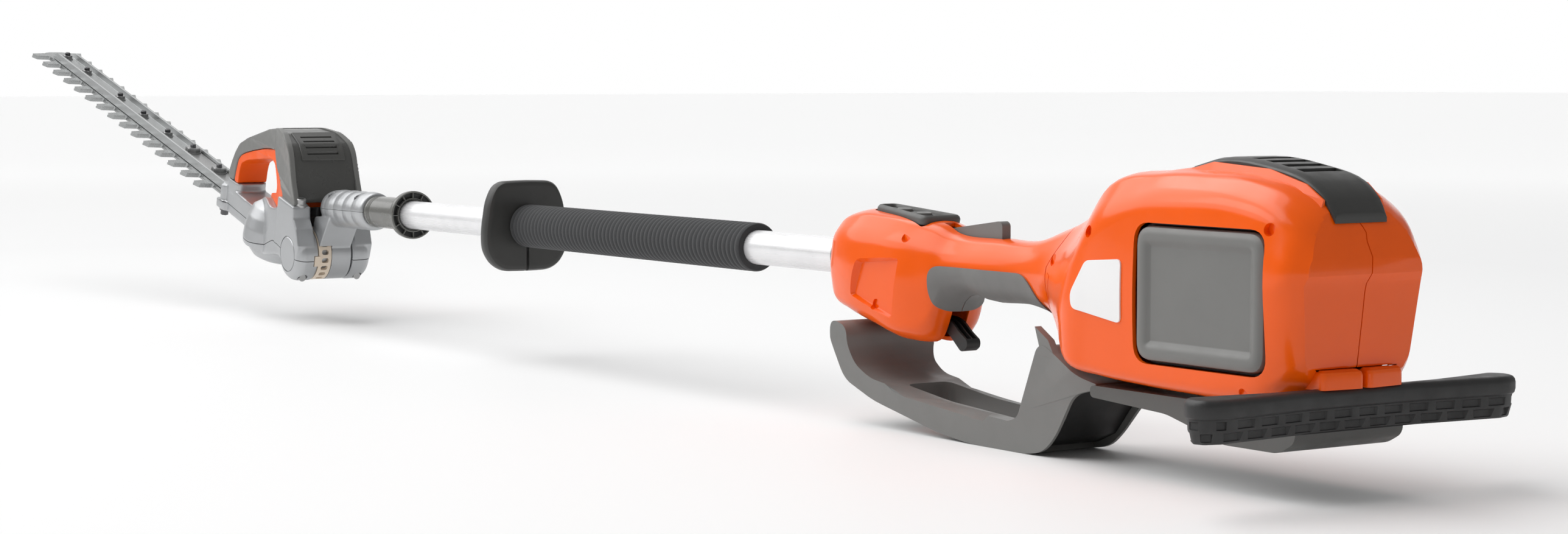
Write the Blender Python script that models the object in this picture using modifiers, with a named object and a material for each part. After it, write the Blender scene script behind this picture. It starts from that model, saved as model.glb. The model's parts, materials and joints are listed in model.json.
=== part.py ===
"""Battery pole hedge trimmer with a folding cutting head.

Lengths are in millimetres in the machine frame, and the helpers scale them to metres. The machine frame
has +X along the pole towards the cutter, +Y to the left, +Z up, and its origin on the pole's axis above
the front of the rear handle. The head's own frame has u along the blades and w up, about the fold axis.
"""
import math

import bmesh
import bpy
import numpy as np
from mathutils import Matrix, Vector

MM = 0.001
GAP = 0.3                      # clearance between pieces that touch

# Where the machine frame sits: the loop guard stands on z = 0 and x is centred on the whole length.
ROW_X = -543.3
AXIS_HEIGHT = 110.0

# Rear unit
PARTING = 0.15                 # half of the gap between the two clamshells
WALL = 2.4
NOSE_X = -30.0
TAIL_X = -519.0
BATTERY_LOW = (-495.0, -48.5, -39.0)
BATTERY_HIGH = (-388.0, 51.5, 39.0)
WINDOW_MARGIN = 1.6
WINDOW_CORNER = 12.0
TRIGGER_PIVOT = (-112.0, 0.0, -40.0)
TRIGGER_SLOT = ((-174.0, -7.0, -64.0), (-119.0, 7.0, -27.0))
LOCKOUT_PIVOT = (-151.0, 0.0, 16.5)
LOCKOUT_SLOT = ((-206.0, -4.2, 4.0), (-142.0, 4.2, 44.0))
LATCH_X = (-410.0, -467.0)
LATCH_HALF = (8.0, 14.0)       # half length and half height of a battery latch
KEY_RADIUS = 5.5
KEY_STATIONS = (-92.0, -114.0)
KEYPAD_SLOPE = math.radians(5.0)

# Guard, tray and bumper
GUARD_HALF_WIDTH = 28.0
GUARD_FLARE = 0.33             # how much wider the guard is at the housing than on the ground
TRAY_HALF_WIDTH = 41.0
BUMPER_TOP = -45.5
BUMPER_HEIGHT = 24.0

# Pole
POLE_RADIUS = 12.5
POLE_WALL = 1.5
POLE_START = -136.0
POLE_END = 800.0
FOAM_START = 90.0
FOAM_END = 443.0
FOAM_RADIUS = 17.8
SHIELD_X = (443.6, 461.0)
SLEEVE_X = (659.0, 734.0)
SLEEVE_RADIUS = 14.4
SLEEVE_RING_RADIUS = 21.5

# Knuckle and fold axis
HINGE = (853.5, 0.0, -43.8)
HEAD_TILT = math.radians(15.0)
CLAMP_X = (735.0, 832.0)
CLAMP_RADIUS = 16.8
DRUM_RADIUS = 25.0
DRUM_HALF_WIDTH = 16.9
RING_RADII = (21.7, 25.0)
RING_Y = (3.8, 16.6)
RING_SLOTS = 20
PIN_RADIUS = 8.0
LOBE_RADIUS = 25.5
LOBE_Y = (17.5, 38.2)
LOCK_ANGLE = math.radians(142.0)

# Gear train in the head: a 9-tooth pinion drives a 42-tooth crank gear.
MOTOR_U = 50.0
CRANK_U = 90.0
CRANK_TEETH = 42
PINION_TEETH = 9
MODULE = 2.0 * (CRANK_U - MOTOR_U) / (CRANK_TEETH + PINION_TEETH)
GEAR_W = (-5.0, 4.0)
STATOR_W = (58.0, 84.0)
STATOR_RADII = (14.2, 21.0)
ECCENTRIC = 5.0                # half of each knife's stroke
ECCENTRIC_RADII = (13.0, 7.0)
CAVITY_RADIUS = 34.7
SPLIT_W = -12.7                # the plane where the two gearbox halves meet

# Cutting bar
TOOTH_PITCH = 36.7
TOOTH_COUNT = 15
ROOT_TOOTH_U = 260.0
TOOTH_REACH = 28.9
UPPER_KNIFE_W = (-9.7, -7.2)
LOWER_KNIFE_W = (-12.3, -10.0)
KNIFE_HALF_WIDTH = 12.5
TIP_LENGTH = 10.2              # from the last tooth's middle to the knives' tip
LOWER_OFFSET = 2.0             # how far the lower knife's teeth stand ahead of the upper knife's
YOKE_U = (64.5, 109.0, 122.0)  # rear and front of the yoke, and where it has narrowed to the knife
YOKE_HALF_WIDTH = 26.0
BAR_U = (223.0, 757.0)
BAR_HALF_WIDTH = 11.5
BAR_W = (-6.8, 2.5)
BOLT_STATIONS = (271.0, 344.5, 418.0, 491.5, 565.0, 675.0, 742.0)
ROOT_BOLTS = 2

# The skin of the rear unit, front to back: each row is a station on X and the half outline (y, z) of the
# section there, from the bottom centre line to the top centre line.
SKIN = (
    (-30.0, (0, -25), (9, -24), (16, -19), (18.5, -3), (16, 13), (10, 20), (6, 21.5), (3, 22), (0, 22)),
    (-40.0, (0, -32), (14, -31), (22, -26), (25.5, -5), (22.5, 16), (14, 26), (9, 28), (5, 28.6), (0, 29)),
    (-60.0, (0, -37), (17, -36), (27, -31), (31, -5), (28, 18), (16, 31), (10, 33), (5, 34), (0, 34)),
    (-90.0, (0, -44), (18, -43), (29, -38), (33, -8), (29, 18), (18, 31), (12, 32.5), (6, 33.3), (0, 33.5)),
    (-122.0, (0, -51), (18, -50), (28, -43), (32, -10), (28, 16), (18, 28), (12, 30), (6, 30.6), (0, 31)),
    (-146.0, (0, -47), (14, -46), (22, -37), (25, -9), (23, 11), (15, 23.5), (10, 26), (5, 27), (0, 27.2)),
    (-160.0, (0, -22), (9, -21), (17, -14), (21, -2), (18.5, 10), (12, 19), (8, 21), (4, 22), (0, 22.4)),
    (-200.0, (0, -20), (9, -18), (17, -12), (20, 0), (17, 11), (11, 17.5), (7, 19.6), (4, 20.4), (0, 20.7)),
    (-245.0, (0, -20), (9, -19), (17, -13), (20.5, 0), (18, 11), (12, 18.5), (8, 20.6), (4, 21.5),
     (0, 21.8)),
    (-272.0, (0, -26), (12, -25), (22, -18), (26, 0), (22, 14), (15, 25), (10, 28), (5, 29.5), (0, 30)),
    (-298.0, (0, -40), (20, -39), (34, -33), (39, -8), (32, 15), (20, 33), (13, 36), (7, 37.4), (0, 38)),
    (-320.0, (0, -52), (34, -51), (48, -46), (49.5, -14), (44, 17), (30, 38), (24, 43), (16, 46), (0, 48)),
    (-345.0, (0, -54), (35, -54), (49, -50), (50.5, -6), (49, 38), (34, 60), (26, 63), (19, 64.5), (0, 65)),
    (-385.0, (0, -56), (36, -56), (49.5, -52), (51.5, 2), (49, 53), (33, 67.5), (26, 69), (20, 69.8),
     (0, 70)),
    (-422.0, (0, -57), (36, -57), (50, -53), (52, 2), (49.5, 56), (33, 68.8), (25, 70.5), (20, 73.5),
     (0, 74.5)),
    (-470.0, (0, -57), (36, -57), (50, -52), (54, 10), (49.5, 55), (34, 66), (25, 68.5), (20, 70.5),
     (0, 71.5)),
    (-498.0, (0, -54), (34, -53.5), (48, -48), (57, 20), (48, 50), (33, 59), (24, 61.5), (20, 62.5),
     (0, 63.5)),
    (-512.0, (0, -44), (28, -43.5), (42, -38), (53, 21), (42, 43), (29, 50), (22, 52.5), (17, 53),
     (0, 54)),
    (-519.0, (0, -37), (22, -36), (35, -31), (45, 22), (35, 36), (24, 41), (18, 42), (12, 42.5), (0, 43)),
)

# Vent cap on the spine, front to back: station on X, half width, lowest and highest z
VENT_SECTIONS = (
    (-404, 21, 70, 73.6), (-424, 21.5, 73.6, 78), (-470, 22, 70.6, 75.2), (-499, 22, 63, 67.6),
    (-511, 20.5, 54.2, 59.2), (-517.5, 19.5, 44.2, 49.4),
)

# Flat outlines in the XZ plane
GUARD_OUTLINE = (
    (-57, -39), (-57.5, -58), (-64, -80), (-96, -92), (-169, -106.5), (-204, -110), (-260, -110),
    (-276, -107), (-288, -97), (-311, -68), (-336, -62), (-336, -59), (-320, -56), (-298, -44),
    (-284, -37.5), (-252, -88), (-243, -91), (-168, -86.5), (-95, -77), (-81, -69), (-77, -60),
    (-77, -43.5),
)
# Cheek of the guard's rear leg, which rises beside the housing's neck, and the span of y that it fills
GUARD_CHEEK = ((-285.5, -46), (-279, -28.5), (-292, -36), (-299, -47))
CHEEK_Y = (32.0, 37.0)
GUARD_SLOT = (-236.0, -112.0, 9.0)      # from, to, half width of the long slot in the bottom band
TRAY_OUTLINE = (
    (-337, -59), (-337, -66), (-405, -69.5), (-436, -77), (-452, -82), (-498, -82), (-511, -75),
    (-511, -59),
)
TRIGGER_OUTLINE = (
    (-104, -36), (-112, -33.5), (-128, -34.5), (-143, -33.5), (-152, -36), (-161, -43), (-169, -47.5),
    (-169, -52), (-163, -56), (-152, -47), (-144, -41.5), (-132, -43), (-118, -44.5), (-106, -43.2),
)
LOCKOUT_OUTLINE = (
    (-147, 12), (-145, 21.5), (-148, 24.6), (-200, 31.5), (-203, 29.5), (-203, 13), (-196, 11), (-156, 9.5),
)
NECK_OUTLINE = ((806, -10), (817.5, -22.6), (829.5, -37), (835, -48), (858, -46), (846, -24), (838, -10))
# Plan outline of the bumper, its left half from the centre line's rear to its front
BUMPER_OUTLINE = (
    (-521, 0), (-521.5, 40), (-526, 85), (-528, 106), (-524, 119), (-513, 122), (-503, 115), (-506, 98),
    (-511.5, 62), (-512.3, 40), (-512.3, 0),
)
# Outline of the hand shield seen along the pole: its left half (y, z) from the top
SHIELD_OUTLINE = ((0, 38), (27, 37), (35, 22), (39, -4), (38.5, -20), (31, -32), (21, -37.5), (0, -38))

# Head outlines, as (u, w)
ARM_OUTLINE = ((-20, 17), (-13.5, 28.6), (-5.3, 36), (-2.7, 47), (32, 47), (32, 0.2), (-20, 0.2))
BOW_OUTLINE = (
    (96, 96), (118, 89), (142, 78), (169, 65.5), (188, 54.7), (197.5, 43), (204, 31), (211, 13.5),
    (196.5, 13.5), (193.5, 28.5), (190, 39.5), (184, 46), (173, 51.7), (152, 60.3), (126, 69.5), (96, 76),
)
GRIP_OUTLINE = (
    (96, 74), (125, 67.3), (151, 58), (172, 49.4), (182, 44), (187.8, 38.4), (191, 28.4), (194, 13.5),
    (184, 13.5), (183, 27), (180, 36), (167, 43), (143, 51), (120, 58), (96, 64),
)
HANDLE_HALF_WIDTH = 16.0
GEARBOX_PLAN = (
    (31, 34), (50, 37), (72, 41), (90, 42.5), (109, 38), (124, 25), (136, 18), (222, 16),
)
# Motor cover: its side outline, the outline of its hollow, and its half width at two stations on u
COVER_OUTLINE = (
    (5, 47.4), (14, 68), (26, 90), (34, 97), (54, 102.5), (78, 100.5), (96, 95.5), (96, 74), (84, 62),
    (66, 50), (60, 47.4),
)
COVER_HOLLOW = (
    (4.3, 40), (16.4, 67.3), (28.2, 88.8), (35.3, 94.8), (54.2, 100.2), (77.7, 98.2), (93.5, 93.9),
    (93.5, 75), (82.5, 64), (64.5, 52.2), (57.5, 49.3), (57.5, 40),
)
COVER_TAPER = ((40.0, 34.5), (96.0, 20.0))
COVER_WALL = 2.2

# Wiring: route of the lead inside the rear unit and the pole, as (x, z) on the centre plane
CABLE_ROUTE = (
    (-396, 52), (-372, 52), (-345, 42), (-318, 14), (-290, -4), (-250, -9), (-180, -9), (-140, -2),
    (-110, 0), (60, 0), (400, 0), (740, 0), (785, 0), (806, -5), (824, -21),
)
CABLE_RADIUS = 2.6

# Finishes: colour, roughness, metallic
ORANGE = ((0.86, 0.13, 0.01), 0.22, 0.0)
GRAY = ((0.11, 0.11, 0.11), 0.5, 0.0)
DARK = ((0.035, 0.035, 0.035), 0.45, 0.0)
BLACK = ((0.012, 0.012, 0.012), 0.6, 0.0)
FOAM = ((0.05, 0.05, 0.052), 0.95, 0.0)
SILVER = ((0.52, 0.54, 0.56), 0.35, 0.7)
ALUMINIUM = ((0.82, 0.82, 0.83), 0.3, 0.9)
STEEL = ((0.55, 0.56, 0.57), 0.25, 1.0)
BRIGHT = ((0.7, 0.71, 0.72), 0.2, 1.0)
CREAM = ((0.8, 0.7, 0.58), 0.5, 0.0)
WHITE = ((0.85, 0.85, 0.85), 0.4, 0.0)
COPPER = ((0.6, 0.28, 0.12), 0.35, 1.0)
CIRCUIT = ((0.02, 0.16, 0.06), 0.5, 0.0)

PLANES = {
    "XY": Matrix.Identity(3),
    "XZ": Matrix(((1, 0, 0), (0, 0, -1), (0, 1, 0))),
    "YZ": Matrix(((0, 0, 1), (1, 0, 0), (0, 1, 0))),
}
AXES = {
    "X": Matrix.Rotation(math.radians(90), 4, "Y"),
    "Y": Matrix.Rotation(math.radians(-90), 4, "X"),
    "Z": Matrix.Identity(4),
}


def clear_scene():
    for item in list(bpy.data.objects):
        bpy.data.objects.remove(item, do_unlink=True)


def new_collection(name):
    collection = bpy.data.collections.new(name)
    bpy.context.scene.collection.children.link(collection)
    return collection


def add_datum(name, parent, location, tilt=0.0):
    """An empty that carries a group of pieces."""
    datum = bpy.data.objects.new(name, None)
    datum.parent = parent
    datum.location = [value * MM for value in location]
    datum.rotation_euler = (0.0, -tilt, 0.0)
    PARTS.objects.link(datum)
    return datum


def paint(item, finish):
    """Give one piece a material of its own."""
    colour, roughness, metallic = finish
    material = bpy.data.materials.new(item.name)
    material.use_nodes = True
    shader = material.node_tree.nodes["Principled BSDF"]
    shader.inputs["Base Color"].default_value = (*colour, 1.0)
    shader.inputs["Roughness"].default_value = roughness
    shader.inputs["Metallic"].default_value = metallic
    item.data.materials.clear()
    item.data.materials.append(material)


def add_mesh(name, mesh, parent, finish):
    """Link a mesh as a piece, or as a cutter when it has no finish."""
    item = bpy.data.objects.new(name, mesh)
    item.parent = parent
    if finish is None:
        CUTTERS.objects.link(item)
        item.hide_render = True
        item.display_type = "WIRE"
    else:
        PARTS.objects.link(item)
        paint(item, finish)
        mesh.shade_smooth()
        mesh.set_sharp_from_angle(angle=math.radians(32))
    return item


def finish_bmesh(name, shape, parent, finish):
    bmesh.ops.scale(shape, vec=(MM, MM, MM), verts=shape.verts)
    bmesh.ops.recalc_face_normals(shape, faces=shape.faces)
    mesh = bpy.data.meshes.new(name)
    shape.to_mesh(mesh)
    shape.free()
    return add_mesh(name, mesh, parent, finish)


def add_box(name, low, high, parent, finish=None):
    shape = bmesh.new()
    bmesh.ops.create_cube(shape, size=1.0)
    size = [b - a for a, b in zip(low, high)]
    middle = [(a + b) / 2 for a, b in zip(low, high)]
    bmesh.ops.scale(shape, vec=size, verts=shape.verts)
    bmesh.ops.translate(shape, vec=middle, verts=shape.verts)
    return finish_bmesh(name, shape, parent, finish)


def add_rod(name, axis, start, end, radius, parent, finish=None, sides=24, at=(0.0, 0.0), tip=None):
    """A cylinder or cone along an axis from start to end; at is its place across the axis."""
    shape = bmesh.new()
    bmesh.ops.create_cone(shape, cap_ends=True, segments=sides, radius1=radius,
                          radius2=radius if tip is None else tip, depth=end - start)
    place = {"X": ((start + end) / 2, at[0], at[1]), "Y": (at[0], (start + end) / 2, at[1]),
             "Z": (at[0], at[1], (start + end) / 2)}[axis]
    bmesh.ops.transform(shape, matrix=AXES[axis], verts=shape.verts)
    bmesh.ops.translate(shape, vec=place, verts=shape.verts)
    return finish_bmesh(name, shape, parent, finish)


def add_turned(name, axis, profile, parent, finish, steps=32, at=(0.0, 0.0, 0.0), closed=False):
    """A turned piece: a profile of (radius, height) from the top down, swept by a Screw modifier."""
    mesh = bpy.data.meshes.new(name)
    points = [(radius * MM, 0.0, height * MM) for radius, height in profile]
    edges = [(i, i + 1) for i in range(len(points) - 1)]
    if closed:
        edges.append((len(points) - 1, 0))
    mesh.from_pydata(points, edges, [])
    item = add_mesh(name, mesh, parent, finish)
    item.matrix_local = Matrix.Translation([value * MM for value in at]) @ AXES[axis]
    screw = item.modifiers.new("turn", "SCREW")
    screw.steps = steps
    screw.render_steps = steps
    screw.use_merge_vertices = True
    screw.merge_threshold = 0.00001
    return item


def add_ring(name, axis, start, end, inner, outer, parent, finish, steps=24, at=(0.0, 0.0, 0.0)):
    profile = ((outer, end), (outer, start), (inner, start), (inner, end))
    return add_turned(name, axis, profile, parent, finish, steps, at, closed=True)


def rounded(points, radius, steps=3):
    """An outline with each corner replaced by an arc of about the given radius."""
    result = []
    count = len(points)
    for i in range(count):
        here = Vector(points[i])
        back = Vector(points[i - 1]) - here
        ahead = Vector(points[(i + 1) % count]) - here
        reach = min(radius, 0.45 * back.length, 0.45 * ahead.length)
        start = here + back.normalized() * reach
        end = here + ahead.normalized() * reach
        for step in range(steps + 1):
            t = step / steps
            result.append(start * (1 - t) ** 2 + here * 2 * t * (1 - t) + end * t ** 2)
    return result


def add_plate(name, plane, loops, low, high, parent, finish=None, bevel=0.0):
    """A flat outline, with holes, given thickness from low to high across its plane."""
    curve = bpy.data.curves.new(name, "CURVE")
    curve.dimensions = "2D"
    curve.fill_mode = "BOTH"
    curve.extrude = (high - low) / 2 * MM
    for loop in loops:
        spline = curve.splines.new("POLY")
        spline.points.add(len(loop) - 1)
        for point, place in zip(spline.points, loop):
            point.co = (place[0] * MM, place[1] * MM, 0.0, 1.0)
        spline.use_cyclic_u = True
    guide = bpy.data.objects.new(name, curve)
    CUTTERS.objects.link(guide)
    bpy.context.view_layer.update()
    mesh = bpy.data.meshes.new_from_object(guide.evaluated_get(bpy.context.evaluated_depsgraph_get()))
    bpy.data.objects.remove(guide, do_unlink=True)
    shape = bmesh.new()
    shape.from_mesh(mesh)
    bmesh.ops.remove_doubles(shape, verts=shape.verts, dist=0.00001)
    turn = PLANES[plane].to_4x4()
    across = turn @ Vector((0.0, 0.0, 1.0))
    facing = 1.0 if sum(across) > 0 else -1.0
    middle = across * facing * (low + high) / 2 * MM
    bmesh.ops.transform(shape, matrix=Matrix.Translation(middle) @ turn, verts=shape.verts)
    bmesh.ops.recalc_face_normals(shape, faces=shape.faces)
    shape.to_mesh(mesh)
    shape.free()
    mesh.name = name
    item = add_mesh(name, mesh, parent, finish)
    if bevel:
        add_bevel(item, bevel)
    return item


def add_loft(name, rings, parent, finish=None, capped=True):
    """A skin through rings of points, closed around each ring and, when capped, at both ends."""
    shape = bmesh.new()
    rows = [[shape.verts.new(point) for point in ring] for ring in rings]
    count = len(rows[0])
    around = count if capped else count - 1
    for first, second in zip(rows, rows[1:]):
        for i in range(around):
            j = (i + 1) % count
            shape.faces.new((first[i], first[j], second[j], second[i]))
    shape.faces.new(rows[0])
    shape.faces.new(rows[-1])
    return finish_bmesh(name, shape, parent, finish)


def add_tube(name, points, radius, parent, finish, resolution=2):
    """A lead or wire through points, with filled caps."""
    curve = bpy.data.curves.new(name, "CURVE")
    curve.dimensions = "3D"
    curve.bevel_depth = radius * MM
    curve.bevel_resolution = resolution
    curve.use_fill_caps = True
    spline = curve.splines.new("POLY")
    spline.points.add(len(points) - 1)
    for point, place in zip(spline.points, points):
        point.co = (place[0] * MM, place[1] * MM, place[2] * MM, 1.0)
    item = bpy.data.objects.new(name, curve)
    item.parent = parent
    PARTS.objects.link(item)
    paint(item, finish)
    return item


def add_bevel(item, width, segments=1):
    bevel = item.modifiers.new("edges", "BEVEL")
    bevel.width = width * MM
    bevel.segments = segments
    bevel.limit_method = "ANGLE"
    bevel.angle_limit = math.radians(40)
    bevel.use_clamp_overlap = True


def combine(item, other, operation):
    """Cut a cutter out of a piece (DIFFERENCE) or build it on (UNION)."""
    change = item.modifiers.new(other.name, "BOOLEAN")
    change.operation = operation
    change.object = other
    change.solver = "EXACT"


def cut(item, *cutters):
    for cutter in cutters:
        combine(item, cutter, "DIFFERENCE")


def build_on(item, *others):
    for other in others:
        combine(item, other, "UNION")


def move_origin(item, point):
    """Put a piece's origin on its joint's axis without moving the piece."""
    shift = Vector([value * MM for value in point])
    item.data.transform(Matrix.Translation(-shift))
    item.location = shift


def hermite(rows, steps):
    """Rows of points joined by smooth cubic stretches, with steps new rows in each stretch."""
    rows = np.array(rows, dtype=float)
    chords = np.linalg.norm(np.diff(rows, axis=0).reshape(len(rows) - 1, -1), axis=1)
    knots = np.concatenate([[0.0], np.cumsum(chords)])
    slopes = np.gradient(rows, knots, axis=0)
    result = []
    for i in range(len(rows) - 1):
        span = knots[i + 1] - knots[i]
        for step in range(steps):
            t = step / steps
            result.append(rows[i] * (1 + 2 * t) * (1 - t) ** 2 + rows[i + 1] * t * t * (3 - 2 * t)
                          + slopes[i] * span * t * (1 - t) ** 2 + slopes[i + 1] * span * t * t * (t - 1))
    result.append(rows[-1])
    return np.array(result)


def skin_grid(along=1, across=2):
    """The rear unit's outside as rows of points, one row for each station."""
    rows = [[(row[0], y, z) for y, z in row[1:]] for row in SKIN]
    rows = hermite(rows, along) if along > 1 else np.array(rows, dtype=float)
    return np.array([hermite(row, across) for row in rows])


def half_shell(name, side):
    """One clamshell: its outside, thickened inwards, with its face on the parting plane."""
    grid = skin_grid(1, 2)
    grid[:, :, 1] *= side
    shape = bmesh.new()
    rows = [[shape.verts.new(point) for point in row] for row in grid]
    for first, second in zip(rows, rows[1:]):
        for i in range(len(first) - 1):
            shape.faces.new((first[i], first[i + 1], second[i + 1], second[i]))
    shape.faces.new(rows[0])
    shape.faces.new(rows[-1])
    shell = finish_bmesh(name, shape, BASE, ORANGE)
    if shell.data.polygons[5].normal.y * side < 0:
        shell.data.flip_normals()
    solid = shell.modifiers.new("wall", "SOLIDIFY")
    solid.thickness = WALL * MM
    solid.offset = -1.0
    solid.use_even_offset = True
    reach = 80.0
    low_y, high_y = (-reach, PARTING) if side > 0 else (-PARTING, reach)
    cut(shell, add_box(name + "_parting", (TAIL_X - 10, low_y, -reach), (10, high_y, reach + 20), BASE))
    return shell


def skin_patch(name, x_span, heights, side, lift, thickness, finish):
    """A piece on the rear unit's side; heights are its lowest and highest z and the least y it reaches."""
    low, high, side_only = heights
    grid = skin_grid()
    at_x = -grid[:, 0, 0]
    fine = np.linspace(0, grid.shape[1] - 1, 120)
    outer, inner = [], []
    between = [row[0] for row in SKIN if x_span[1] < row[0] < x_span[0]]
    for station in (x_span[0], *between, x_span[1]):
        row = [[np.interp(-station, at_x, grid[:, j, k]) for k in (1, 2)] for j in range(grid.shape[1])]
        row = np.array([[np.interp(f, range(len(row)), np.array(row)[:, k]) for k in (0, 1)] for f in fine])
        band = row[(row[:, 1] > low) & (row[:, 1] < high) & (row[:, 0] > side_only)]
        band = band[np.linspace(0, len(band) - 1, 6).astype(int)]
        normal = np.gradient(band, axis=0)[:, ::-1] * (1, -1)
        normal /= np.linalg.norm(normal, axis=1)[:, None]
        for store, offset in ((inner, lift), (outer, lift + thickness)):
            moved = band + normal * offset
            store.append([(station, y * side, z) for y, z in moved])
    rings = [first + second[::-1] for first, second in zip(inner, outer)]
    return add_loft(name, rings, BASE, finish)


def rounded_window(side_margin):
    """Outline in XZ of the opening for the battery."""
    x_low, x_high = BATTERY_LOW[0] - side_margin, BATTERY_HIGH[0] + side_margin
    z_low, z_high = BATTERY_LOW[2] - side_margin, BATTERY_HIGH[2] + side_margin
    corners = ((x_low, z_low), (x_high, z_low), (x_high, z_high), (x_low, z_high))
    return rounded(corners, WINDOW_CORNER)


def keypad_height(x):
    return 33.6 - (KEY_STATIONS[0] - x) * math.tan(KEYPAD_SLOPE)


def keypad_plan(margin):
    corners = ((-69 + margin, -9 - margin), (-69 + margin, 9 + margin), (-136 - margin, 17 + margin),
               (-136 - margin, -17 - margin))
    return rounded(corners, 5.0)


def vent_hole():
    """A cutter a little wider than the vent cap, through the wall under it and out behind it."""
    margin, above, behind = 0.5, 9.0, 6.0
    first, last = VENT_SECTIONS[0], VENT_SECTIONS[-1]
    sections = [(first[0] + margin, *first[1:]), *VENT_SECTIONS[1:], (last[0] - behind, *last[1:])]
    rings = []
    for x, half, low, high in sections:
        y, floor, ceiling = half + margin, low - margin, high + above
        rings.append([(x, -y, floor), (x, y, floor), (x, y, ceiling), (x, -y, ceiling)])
    return add_loft("vent_hole", rings, BASE)


def make_housings():
    vent = vent_hole()
    for name, side in (("housing_left", 1), ("housing_right", -1)):
        shell = half_shell(name, side)
        window = add_plate(name + "_window", "XZ", [rounded_window(WINDOW_MARGIN)], side * 34 - 28,
                           side * 34 + 28, BASE)
        bore = add_rod(name + "_pole_hole", "X", -60, 10, POLE_RADIUS + GAP, BASE)
        slot = add_box(name + "_trigger_slot", *TRIGGER_SLOT, BASE)
        lever_slot = add_box(name + "_lockout_slot", *LOCKOUT_SLOT, BASE)
        keypad_hole = add_plate(name + "_keypad_hole", "XY", [keypad_plan(0.6)], 8, 60, BASE)
        cut(shell, lever_slot, bore, slot, keypad_hole, vent, window)


def make_keypad():
    """A sloping panel with two keys and the small board under it."""
    holes = [[(x + (KEY_RADIUS + 0.5) * math.cos(a), (KEY_RADIUS + 0.5) * math.sin(a))
              for a in np.linspace(0, 2 * math.pi, 20, endpoint=False)] for x in KEY_STATIONS]
    panel = add_plate("keypad_panel", "XY", [keypad_plan(0.0)] + holes, -2.5, 1.2, BASE, DARK)
    board = add_box("keypad_board", (-128, -13, -12), (-76, 13, -10.4), BASE, CIRCUIT)
    for item in (panel, board):
        slope(item)
    for name, x in zip(("power_key", "mode_key"), KEY_STATIONS):
        key = add_rod(name, "Z", -6.0, 1.8, KEY_RADIUS, BASE, GRAY, sides=20, at=(x, 0.0))
        slope(key)


def slope(item):
    """Tip a keypad piece about the first key so that it lies along the housing's top."""
    turn = Matrix.Rotation(-KEYPAD_SLOPE, 4, "Y")
    pivot = Vector((KEY_STATIONS[0] * MM, 0.0, 0.0))
    lift = Vector((0.0, 0.0, keypad_height(KEY_STATIONS[0]) * MM))
    item.data.transform(Matrix.Translation(pivot + lift) @ turn @ Matrix.Translation(-pivot))


def make_controls():
    trigger = add_plate("trigger", "XZ", [rounded(TRIGGER_OUTLINE, 3, 2)], -5.5, 5.5, BASE, BLACK)
    cut(trigger, add_rod("trigger_bore", "Y", -9, 9, 2.3, BASE, at=TRIGGER_PIVOT[::2], sides=16))
    move_origin(trigger, TRIGGER_PIVOT)
    add_rod("trigger_pin", "Y", -12, 12, 2.0, BASE, STEEL, sides=16, at=TRIGGER_PIVOT[::2])
    lever = add_plate("lockout_lever", "XZ", [rounded(LOCKOUT_OUTLINE, 2, 2)], -3.4, 3.4, BASE, GRAY)
    cut(lever, add_rod("lockout_bore", "Y", -6, 6, 1.8, BASE, at=LOCKOUT_PIVOT[::2], sides=12))
    move_origin(lever, LOCKOUT_PIVOT)
    add_rod("lockout_pin", "Y", -10, 10, 1.5, BASE, STEEL, sides=12, at=LOCKOUT_PIVOT[::2])
    add_box("trigger_switch", (-140, -8, -23), (-118, 8, -14), BASE, BLACK)


def make_battery():
    outline = rounded_window(0.0)
    add_plate("battery_pack", "XZ", [outline], BATTERY_LOW[1], BATTERY_HIGH[1], BASE, GRAY, bevel=1.5)
    half_x, half_z = LATCH_HALF
    face = BATTERY_LOW[1]
    for name, x in zip(("battery_latch_front", "battery_latch_rear"), LATCH_X):
        pocket = add_box(name + "_pocket", (x - half_x - 0.5, face - 1, -half_z - 0.5),
                         (x + half_x + 0.5, face + 8, half_z + 0.5), BASE)
        cut(bpy.data.objects["battery_pack"], pocket)
        add_box(name, (x - half_x, face - 0.8, -half_z), (x + half_x, face + 4, half_z), BASE, DARK)
    loops = [rounded_window(1.4), rounded_window(0.5)]
    add_plate("battery_bay", "XZ", loops, -44, 44, BASE, BLACK)
    add_box("battery_connector", (-384, -16, -12), (-376, 16, 12), BASE, BLACK)
    add_box("motor_controller", (-462, -24, 43), (-400, 24, 56), BASE, ALUMINIUM)


def make_rear_trim():
    for name, side in (("grip_insert_left", 1), ("grip_insert_right", -1)):
        skin_patch(name, (-160, -248), (-17, 1, 8), side, 0.4, 1.2, GRAY)
    skin_patch("label_plate", (-336, -374), (-19, 13, 40), 1, 0.8, 0.5, WHITE)
    cap = [[(x, -half, low), (x, half, low), (x, half, high - 2), (x, half * 0.7, high),
            (x, -half * 0.7, high), (x, -half, high - 2)] for x, half, low, high in VENT_SECTIONS]
    add_loft("vent_cap", cap, BASE, BLACK)


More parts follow.
